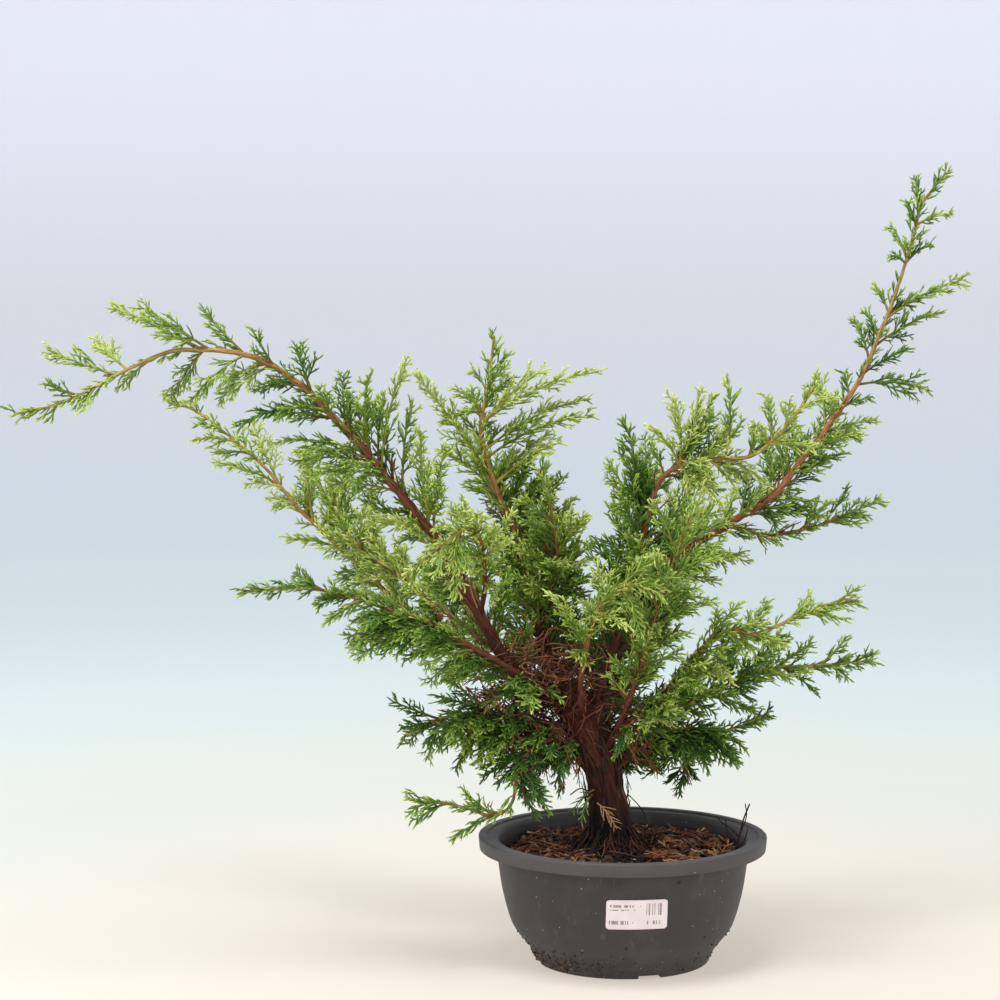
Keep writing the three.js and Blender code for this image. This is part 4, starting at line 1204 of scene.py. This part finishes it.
def damp_peat():
    """Peat potting soil, crumbled and damp: near black, with brown fibre."""
    material = new_material("crumbled_damp_peat")
    place = node(material, "TexCoord")
    clods = node(material, "TexNoise", {
        "Vector": place.outputs["Object"], "Scale": 1 / (5 * MM), "Detail": 6.0, "Roughness": 0.7})
    grains = node(material, "TexVoronoi", {
        "Vector": place.outputs["Object"], "Scale": 1 / (1.8 * MM)})
    colour = node(material, "ValToRGB", {"Fac": clods}, stops=[
        (0.35, "#080504"), (0.5, "#150c09"), (0.66, "#301d13"), (0.8, "#52341f")])
    height = node(material, "Math", {0: grains, 1: 0.5, 2: clods}, operation="MULTIPLY_ADD")
    bump = node(material, "Bump", {"Height": height, "Strength": 1.0, "Distance": 1.6 * MM})
    shader = node(material, "BsdfPrincipled", {
        "Base Color": colour, "Roughness": 0.9, "Normal": bump, "Specular IOR Level": 0.25})
    node(material, "OutputMaterial", {"Surface": shader})
    return material


def make_soil(material):
    around, rows = 160, 56
    turns = np.linspace(0, TURN, around, endpoint=False)
    floor_top = FLOOR_LIFT + WALL + CLEARANCE
    wall = wall_curve()
    side = [(wall_radius(floor_top, -WALL - CLEARANCE), floor_top)]
    side += [(r - WALL - CLEARANCE, z) for r, z in wall[1:] if z < SOIL_EDGE - 1 * MM]
    side.append((SOIL_RADIUS, SOIL_EDGE))
    surface = [(SOIL_RADIUS * r, SOIL_EDGE) for r in np.linspace(0.985, 0.02, rows)]
    profile = np.array([(0, floor_top), *side, *surface, (0, SOIL_EDGE)])
    places, faces = turned_mesh(profile, around)
    first = len(side) * around
    top = np.r_[first:first + rows * around, len(places) - 1]
    places[top, 2] = soil_level(places[top, 0], places[top, 1])
    soil = make_piece("peat_soil", places, faces, material)
    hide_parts("soil")


def mound_level(x, y):
    """Height of the root mound's surface, where the flare spreads into roots."""
    share = np.hypot(x - MOUND_CENTRE[0], y - MOUND_CENTRE[1]) / MOUND_RADIUS
    rise = np.interp(share, [0, 0.5, 0.75, 1], [1, 1, 0.55, 0.12]) * MOUND_HEIGHT
    return SOIL_EDGE + rise


def matted_roots():
    """Root ball surface, matted with fine roots and peat: almost black."""
    material = new_material("matted_root_ball")
    place = node(material, "TexCoord")
    mat = node(material, "TexNoise", {
        "Vector": place.outputs["Object"], "Scale": 1 / (4 * MM), "Detail": 6.0, "Roughness": 0.72,
        "Distortion": 0.8})
    colour = node(material, "ValToRGB", {"Fac": mat}, stops=[
        (0.4, "#060404"), (0.58, "#0f0907"), (0.76, "#2a190e")])
    bump = node(material, "Bump", {"Height": mat, "Strength": 1.0, "Distance": 1.6 * MM})
    shader = node(material, "BsdfPrincipled", {
        "Base Color": colour, "Roughness": 0.88, "Normal": bump, "Specular IOR Level": 0.25})
    node(material, "OutputMaterial", {"Surface": shader})
    return material


def make_mound(material):
    around, rows = 120, 40
    foot = SOIL_EDGE - SOIL_DOME
    skirt = [(MOUND_RADIUS, level) for level in np.linspace(foot, SOIL_EDGE, 5)]
    surface = [(MOUND_RADIUS * r, SOIL_EDGE) for r in np.linspace(0.98, 0.03, rows)]
    profile = np.array([(0, foot), *skirt, *surface, (0, SOIL_EDGE)])
    places, faces = turned_mesh(profile, around)
    places[:, :2] += MOUND_CENTRE
    first = len(skirt) * around
    top = np.r_[first:first + rows * around, len(places) - 1]
    places[top, 2] = mound_level(places[top, 0], places[top, 1])
    for i in range(len(places) - 1):
        x, y, z = places[i]
        out = unit(np.array([x - MOUND_CENTRE[0], y - MOUND_CENTRE[1], 0.5 * MOUND_RADIUS]))
        turn = math.atan2(y - MOUND_CENTRE[1], x - MOUND_CENTRE[0])
        ridge = noise.noise((4.0 * math.cos(turn), 4.0 * math.sin(turn), z / (40 * MM)))
        lump = noise.turbulence((x / (8 * MM), y / (8 * MM), z / (8 * MM)), 3, False)
        places[i] += out * (3.2 * MM * ridge + 2.4 * MM * (lump - 0.4))
    mound = make_piece("root_ball", places, faces, material)
    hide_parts("root_mound")


def dead_growth():
    """Dead shoots and needles, dried on the soil and in the crown: black-brown, rust and straw."""
    material = new_material("dried_juniper_litter")
    place = node(material, "UVMap", uv_map="OFBake")
    split = node(material, "SeparateXYZ", {"Vector": place})
    foot = node(material, "ValToRGB", {"Fac": split.outputs["X"]}, stops=[
        (0.0, "#0f0908"), (0.25, "#36201a"), (0.5, "#6b3c27"), (0.75, "#98633c"), (1.0, "#c0a274")])
    tip = node(material, "ValToRGB", {"Fac": split.outputs["X"]}, stops=[
        (0.0, "#1c1210"), (0.25, "#503024"), (0.5, "#875034"), (0.75, "#b0834f"), (1.0, "#d6c193")])
    colour = node(material, "Mix", {
        "Factor": split.outputs["Y"], "A": foot, "B": tip}, data_type="RGBA")
    shader = node(material, "BsdfPrincipled", {
        "Base Color": colour, "Roughness": 0.75, "Specular IOR Level": 0.3})
    node(material, "OutputMaterial", {"Surface": shader})
    return material


def litter_places(rng, count, centre_share):
    """Places on the soil: thick on both sides, thinner on the bare peat in front of the trunk."""
    places = []
    while len(places) < count:
        x, y = rng.uniform(-SOIL_RADIUS, SOIL_RADIUS, 2)
        if math.hypot(x, y) > 0.97 * SOIL_RADIUS:
            continue
        if math.hypot(x - MOUND_CENTRE[0], y - MOUND_CENTRE[1]) < 0.9 * MOUND_RADIUS:
            continue
        bare = math.exp(-((x + 2 * MM) / (30 * MM)) ** 4) if y < 10 * MM else 0.3
        if rng.uniform() < 1 - (1 - centre_share) * bare:
            places.append((x, y))
    return np.array(places)


def lying(rng, places, length, lift, tone):
    """Shoots that lie on the soil at the given places, bent and pointing anywhere."""
    count = len(places)
    turn = rng.uniform(0, TURN, count)
    half = (rng.uniform(*length, count) / 2)[:, None]
    way = np.stack([np.cos(turn), np.sin(turn)], 1)
    side = np.stack([-way[:, 1], way[:, 0]], 1)
    ends = [places - way * half, places + side * half * rng.uniform(-0.6, 0.6, (count, 1)),
            places + way * half]
    raised = []
    for end, high in zip(ends, (0.4, 1.0, 1.0)):
        far = np.maximum(1, np.linalg.norm(end, axis=1) / (0.975 * SOIL_RADIUS))[:, None]
        end = end / far
        level = soil_level(end[:, 0], end[:, 1]) + high * rng.uniform(*lift, count)
        raised.append(np.column_stack([end, level]))
    flat = unit(np.column_stack([rng.normal(0, 0.2, (count, 2)), np.ones(count)]))
    return Shoots(*raised, flat, rng.uniform(*tone, count))


def make_litter(material):
    """Needles, twigs and dead sprays that have fallen on the soil."""
    rng = np.random.default_rng(SEEDS["litter"])
    straight = [1, 1, 0.9]
    needles = lying(rng, litter_places(rng, 800, 0.06), (4 * MM, 12 * MM), (0.3 * MM, 6 * MM),
                    (0.05, 0.72))
    twigs = lying(rng, litter_places(rng, 230, 0.1), (10 * MM, 26 * MM), (1 * MM, 11 * MM),
                  (0.02, 0.7))
    sprigs = lying(rng, litter_places(rng, 150, 0.12), (12 * MM, 26 * MM), (1 * MM, 10 * MM),
                   (0.3, 0.95))
    side = side_shoots(sprigs, rng, 3 * MM, (0.2, 0.98), 38, tapering(0.3, 1.1, 0.5), roll=0.5,
                       tone=0.05)
    straw = lying(rng, litter_places(rng, 60, 0.6), (10 * MM, 30 * MM), (1 * MM, 5 * MM),
                  (0.8, 0.96))
    shoot_piece("fallen_litter", [
        shoot_mesh(needles, 1.3 * MM, 0.9 * MM, straight, 4),
        shoot_mesh(twigs, 2.1 * MM, 1.3 * MM, [1, 0.9, 1.1, 1, 0.8], 5),
        shoot_mesh(sprigs, 1.6 * MM, 1.1 * MM, [1, 1, 1, 0.9], 5),
        shoot_mesh(side, 1.2 * MM, 0.9 * MM, straight, 4),
        shoot_mesh(straw, 1.2 * MM, 0.8 * MM, [1, 1, 1, 0.9], 4)], material)


def lumps(name, rng, places, size, flatness, tone, material):
    """Small broken lumps, each a dented ball, set into the soil or at places with a height."""
    ball = bmesh.new()
    bmesh.ops.create_icosphere(ball, subdivisions=2, radius=1.0)
    shell = np.array([v.co[:] for v in ball.verts])
    faces = np.array([[v.index for v in f.verts] for f in ball.faces])
    ball.free()
    count = len(places)
    stretch = rng.uniform(0.6, 1.4, (count, 1, 3)) * (1, 1, flatness)
    dents = 1 + 0.35 * np.tanh(2 * np.sin(shell @ rng.normal(0, 2.2, (3, 5))).sum(1))[None, :, None]
    dents = dents * (1 + rng.normal(0, 0.1, (count, len(shell), 1)))
    body = shell[None] * dents * stretch * rng.uniform(*size, count)[:, None, None]
    spin = rng.uniform(0, TURN, count)
    c, s = np.cos(spin)[:, None], np.sin(spin)[:, None]
    body = np.stack([c * body[..., 0] - s * body[..., 1], s * body[..., 0] + c * body[..., 1],
                     body[..., 2]], -1)
    if places.shape[1] == 2:
        level = soil_level(places[:, 0], places[:, 1]) + rng.uniform(0, 1, count) * size[1] * 0.6
        places = np.column_stack([places, level])
    body = body + places[:, None]
    corners = (faces[None] + (np.arange(count) * len(shell))[:, None, None]).reshape(-1, 3)
    pale = np.repeat(rng.uniform(*tone, count), len(faces) * 3)
    u = pale + np.tile([0, 0.001, 0.0005], len(corners))
    # v holds each point's height on its own lump, which the material uses for painted shade on the
    # lump's underside.
    v = 0.5 + 0.45 * np.tile(shell[faces.reshape(-1), 2], count)
    make_piece(name, body.reshape(-1, 3), [corners], material,
               {"OFBake": np.column_stack([u, v])})


def broken_stone():
    """Bark chips, pumice and perlite crushed into the soil: brown, ochre and chalk white."""
    material = new_material("crushed_chips_and_perlite")
    place = node(material, "UVMap", uv_map="OFBake")
    split = node(material, "SeparateXYZ", {"Vector": place})
    colour = node(material, "ValToRGB", {"Fac": split.outputs["X"]}, stops=[
        (0.0, "#120c0a"), (0.2, "#2c1b13"), (0.4, "#5a3f28"), (0.6, "#86694a"), (0.8, "#b3a184"),
        (1.0, "#efeae2")])
    # Painted shade: each lump is darkened towards its underside, by its height on itself from the
    # colour map's v.
    shade = node(material, "MapRange", {"Value": split.outputs["Y"], "To Min": 0.55, "To Max": 1.0})
    underside_shaded = node(material, "Mix", {
        "Factor": shade, "A": hex_colour("#1a110d"), "B": colour}, data_type="RGBA")
    shader = node(material, "BsdfPrincipled", {
        "Base Color": underside_shaded, "Roughness": 0.85, "Specular IOR Level": 0.3})
    node(material, "OutputMaterial", {"Surface": shader})
    return material


def make_soil_grit(material):
    rng = np.random.default_rng(SEEDS["grit"])
    # For each kind: how many, the share left in front of the trunk, sizes, flatness and tones.
    for name, count, share, size, flatness, tone in [
            ("peat_crumbs", 900, 1.0, (0.8 * MM, 2.2 * MM), 0.8, (0.0, 0.22)),
            ("bark_chips", 260, 0.15, (2.0 * MM, 5.2 * MM), 0.65, (0.2, 0.66)),
            ("perlite", 90, 1.0, (0.5 * MM, 1.0 * MM), 0.9, (0.85, 0.95))]:
        lumps(name, rng, litter_places(rng, count, share), size, flatness, tone, material)


def make_foot_crumbs(material):
    """Crumbs of peat splashed and dried on the pot's foot, thickest just under the shoulder."""
    rng = np.random.default_rng(SEEDS["foot_crumbs"])
    count = 620
    turn = np.where(rng.uniform(size=count) < 0.5, rng.uniform(0, TURN, count),
                    rng.normal(math.radians(215), 0.45, count))
    level = np.clip(rng.gamma(2.5, 5 * MM, count), 2 * MM, 34 * MM)
    radius = np.array([wall_radius(z) for z in level])
    places = np.column_stack([radius * np.cos(turn), radius * np.sin(turn), level])
    lumps("foot_crumbs", rng, places, (0.25 * MM, 0.8 * MM), 1.0, (0.12, 0.66), material)


def thin_root(route, thick, thin, tone):
    """A thin root or twig along a route, as a chain of short shoots."""
    line = evenly(spline(above_soil(route)), 10)[0]
    feet, tips = line[:-1], line[1:]
    flat = np.tile([0.3, -0.9, 0.3], (len(feet), 1))
    chain = Shoots(feet, 0.5 * (feet + tips), tips, unit(flat), np.full(len(feet), tone))
    middle = 0.5 * (thick + thin)
    return shoot_mesh(chain, middle, middle * 0.98, [1, 1.02, 1], 5)


def make_rootlets(material):
    """Fine roots over the root ball, and the stray ones that stand off the trunk's foot."""
    rng = np.random.default_rng(SEEDS["rootlets"])
    count = 260
    turn = rng.uniform(0, TURN, count)
    start = rng.uniform(0.45, 0.8, count)
    run = rng.uniform(0.1, 0.45, count)
    routes = []
    for k, out in enumerate((0.0, 0.5, 1.0)):
        way = turn + out * rng.normal(0, 0.35, count)
        share = np.minimum(start + run * out, 1.12)
        x = MOUND_CENTRE[0] + MOUND_RADIUS * share * np.cos(way)
        y = MOUND_CENTRE[1] + MOUND_RADIUS * share * np.sin(way)
        level = np.maximum(mound_level(x, y), soil_level(x, y)) + rng.uniform(0.5, 3.5, count) * MM
        routes.append(np.column_stack([x, y, level]))
    flat = np.tile(UP, (count, 1)) + rng.normal(0, 0.1, (count, 3))
    fine = Shoots(*routes, flat, rng.uniform(0.0, 1, count) ** 3 * 0.5)
    strays = [
        ([(-30, -14, 52), (-37, -22, 38), (-42, -26, 22), (-45, -30, 6)], 1.5, 0.8, 0.02),
        ([(-28, -12, 58), (-36, -20, 62), (-44, -26, 58)], 1.4, 0.8, 0.05),
        ([(-26, -16, 54), (-30, -24, 60), (-26, -30, 64)], 1.2, 0.7, 0.1),
        ([(4, -14, 56), (14, -20, 46), (20, -24, 34), (27, -28, 20)], 1.3, 0.6, 0.02),
        ([(6, -12, 34), (18, -18, 24), (30, -26, 14), (36, -30, 6)], 1.2, 0.6, 0.05),
        ([(2, -16, 30), (12, -26, 18), (22, -34, 8)], 1.4, 0.8, 0.12)]
    batches = [shoot_mesh(fine, 1.4 * MM, 0.8 * MM, [1, 0.9, 1, 0.8], 4)]
    batches += [thin_root(route, a * MM, b * MM, tone) for route, a, b, tone in strays]
    shoot_piece("fine_roots", batches, material)


def tangled(rng, count, middle, spread, droop, tone):
    """Bent dead twigs, crossing each other about a middle point. droop pulls their tips down."""
    foot = above_soil(middle) + rng.normal(0, 1, (count, 3)) * np.array(spread) * MM
    way = unit(rng.normal(0, 1, (count, 3)) * (1, 0.6, 0.8) - droop * UP)
    length = rng.uniform(9 * MM, 24 * MM, (count, 1))
    bend = foot + 0.5 * length * way + rng.normal(0, 3 * MM, (count, 3))
    return Shoots(foot, bend, foot + length * way, unit(rng.normal(0, 1, (count, 3))),
                  rng.uniform(*tone, count))


def make_fork_tangle(material):
    """Dead twigs and needles caught in the fork and hanging under the low left limbs."""
    rng = np.random.default_rng(SEEDS["fork_tangle"])
    # For each tangle: how many, its middle, its spread, its droop and its tones.
    fork = together([tangled(rng, *tangle) for tangle in [
        (200, (-50, -20, 156), (17, 8, 16), 0.0, (0.12, 0.64)),
        (90, (-10, -16, 140), (15, 8, 16), 0.0, (0.1, 0.6)),
        (110, (-78, -28, 168), (15, 7, 15), 0.1, (0.15, 0.66)),
        (110, (-88, -26, 138), (18, 8, 12), 0.3, (0.2, 0.66)),
        (220, (-72, -6, 130), (16, 9, 15), 0.4, (0.05, 0.5))]])
    needles = together([tangled(rng, *tangle) for tangle in [
        (150, (-58, -14, 104), (13, 9, 10), 1.8, (0.25, 0.62)),
        (110, (-88, -22, 116), (17, 9, 10), 1.4, (0.25, 0.62)),
        (36, (-112, -40, 146), (5, 4, 5), 0.8, (0.5, 0.74)),
        (50, (6, -10, 100), (10, 6, 8), 0.8, (0.3, 0.7))]])
    barbs = side_shoots(needles, rng, 3 * MM, (0.2, 0.95), 36, tapering(0.4, 1.1, 0.5), roll=0.8,
                        tone=0.05)
    shoot_piece("fork_tangle", [
        shoot_mesh(fork, 1.3 * MM, 0.8 * MM, [1, 1, 0.95, 1, 0.8], 5),
        shoot_mesh(needles, 1.1 * MM, 0.8 * MM, [1, 1, 0.9, 0.8], 4),
        shoot_mesh(barbs, 1.0 * MM, 0.7 * MM, [1, 0.9, 0.8], 3)], material)


def make_foot_frond(material):
    """The small green frond that hangs at the trunk's foot."""
    rng = np.random.default_rng(SEEDS["foot_frond"])
    stalk = Shoots(above_soil([(-24, -15, 60), (-26, -16, 56)]),
                   above_soil([(-35, -22, 58), (-34, -20, 50)]),
                   above_soil([(-42, -25, 44), (-35, -24, 34)]),
                   np.array([[0.1, -0.9, 0.3], [0.3, -0.9, 0.1]]), np.array([0.4, 0.5]))
    sprigs = side_shoots(stalk, rng, 2.6 * MM, (0.2, 1.0), 38,
                         tapering(0.32, 1.2, 0.5), roll=0.4, tone=0.1)
    shoot_piece("foot_frond", [
        shoot_mesh(stalk, 1.4 * MM, 1.0 * MM, [1, 1, 1, 0.9, 0.8], 5, WOOD_BAND),
        shoot_mesh(sprigs, 1.3 * MM, 0.9 * MM, [1, 0.9, 1, 0.6], 4, LEAF_BAND)], material)


def make_dead_twigs(material):
    """Dead twigs: one standing at the right of the rim, one frond on the trunk's foot, and the bare
    tangle inside the crown."""
    rng = np.random.default_rng(SEEDS["dead_twigs"])
    stems = [
        ([(92, -22, 0), (93, -24, 14), (96, -25, 26), (98, -26, 36), (103, -28, 50)], 2.2),
        ([(95, -25, 22), (88, -26, 30), (82, -27, 34), (76, -28, 40)], 1.3),
        ([(97, -26, 28), (101, -25, 40), (100, -24, 50)], 1.2),
        ([(94, -24, 14), (99, -27, 20), (102, -29, 30)], 1.2),
        ([(92, -24, 20), (86, -22, 26), (84, -21, 36)], 1.0)]
    batches = [thin_root(route, thick * MM, 0.7 * MM, 0.03) for route, thick in stems]
    frond = Shoots(above_soil([(-22, -20, 50)]), above_soil([(-14, -25, 46)]),
                   above_soil([(-6, -27, 30)]), np.array([[0.2, -0.9, 0.4]]), np.array([0.8]))
    barbs = side_shoots(frond, rng, 1.8 * MM, (0.15, 0.98), 40,
                        tapering(0.34, 1.2, 0.6), tone=0.05)
    batches += [shoot_mesh(frond, 1.4 * MM, 1.0 * MM, [1, 1, 1, 1, 0.8], 5),
                shoot_mesh(barbs, 1.2 * MM, 0.8 * MM, [1, 1, 0.8], 4)]
    shoot_piece("dead_twigs", batches, material)
    inner = []
    for name in LIMBS:
        line, _, _ = limb_line(name)
        inner.append(bearing_stretch(line, (0.08, 0.62), 0.45, count=4))
    twigs = side_shoots(together(inner), rng, 16 * MM, (0.0, 1.0), 48,
                        lambda length, t: np.full(len(t), 24 * MM), roll=1.5, forward=0.5)
    twigs = twigs.only(twigs.tip[:, 2] > SOIL_EDGE + 40 * MM)
    bare = side_shoots(twigs, rng, 7 * MM, (0.25, 1.0), 40,
                       tapering(0.45, 1.1, 0.5), roll=0.7, tone=0.08)
    shoot_piece("bare_inner_twigs", [
        shoot_mesh(twigs, 1.4 * MM, 0.9 * MM, [1, 1, 0.95, 1, 0.8], 5),
        shoot_mesh(bare, 1.0 * MM, 0.7 * MM, [1, 1, 0.9, 0.8], 4)], material)


def outward(line, places, turn):
    """Directions that point straight out from a line at its given points, turned round it."""
    normals, across = ring_frames(line)
    return np.cos(turn)[:, None] * normals[places] + np.sin(turn)[:, None] * across[places]


def make_peelings(material):
    """Strips of bark that have lifted from the trunk and from the torn stub of the left limb."""
    rng = np.random.default_rng(SEEDS["peelings"])
    line = trunk_line()
    count = 90
    i = rng.integers(60, 170, count)
    out = outward(line[:, :3], i, rng.uniform(0, TURN, count))
    heading = directions(line[:, :3])[i]
    side = np.cross(heading, out)
    foot = line[i, :3] + out * (line[i, 3] * rng.uniform(0.95, 1.06, count))[:, None]
    run = rng.uniform(7 * MM, 26 * MM, count)[:, None] * rng.choice([-1, 1], (count, 1))
    bend = foot + heading * run * 0.5 + out * rng.uniform(0, 1.6 * MM, (count, 1))
    tip = foot + heading * run + out * rng.uniform(0.2 * MM, 3.5 * MM, (count, 1)) + side * rng.normal(
        0, 1.5 * MM, (count, 1))
    strips = Shoots(foot, bend, tip, out, rng.uniform(0.06, 0.34, count))
    torn_count = 70
    line, radius, _ = limb_line("left_long")
    j = rng.integers(40, 58, torn_count)
    out = outward(line, j, rng.uniform(0, TURN, torn_count))
    heading = directions(line)[j]
    foot = line[j] + out * radius[j][:, None]
    run = rng.uniform(8 * MM, 26 * MM, (torn_count, 1))
    tip = foot + heading * run + out * rng.uniform(2 * MM, 13 * MM, (torn_count, 1))
    torn = Shoots(foot, foot + heading * run * 0.6, tip, out, rng.uniform(0.55, 0.85, torn_count))
    shoot_piece("peeling_bark", [
        shoot_mesh(strips, 3.0 * MM, 1.8 * MM, [0.7, 1, 1, 0.9, 0.7], 6, flatten=0.22),
        shoot_mesh(torn, 2.0 * MM, 0.9 * MM, [1, 1, 0.9, 0.7], 5, flatten=0.4)], material)


# ---- Assembly ---------------------------------------------------------------------------------------

place_camera()
make_stage()
light_studio()

make_pot(moulded_plastic())
make_label(printed_label())
make_soil(damp_peat())
make_mound(matted_roots())
make_trunk(stringy_bark())
twig_bark = flaking_bark()
for number, name in enumerate(LIMBS):
    make_limb(name, number, twig_bark)
leaves = scale_leaves()
for number, name in enumerate(FOLIAGE):
    make_foliage(name, number, leaves)
dead = dead_growth()
make_litter(dead)
make_rootlets(dead)
make_dead_twigs(dead)
make_fork_tangle(dead)
make_foot_frond(leaves)
make_peelings(dead)
grit = broken_stone()
make_soil_grit(grit)
make_foot_crumbs(grit)

bpy.context.view_layer.update()
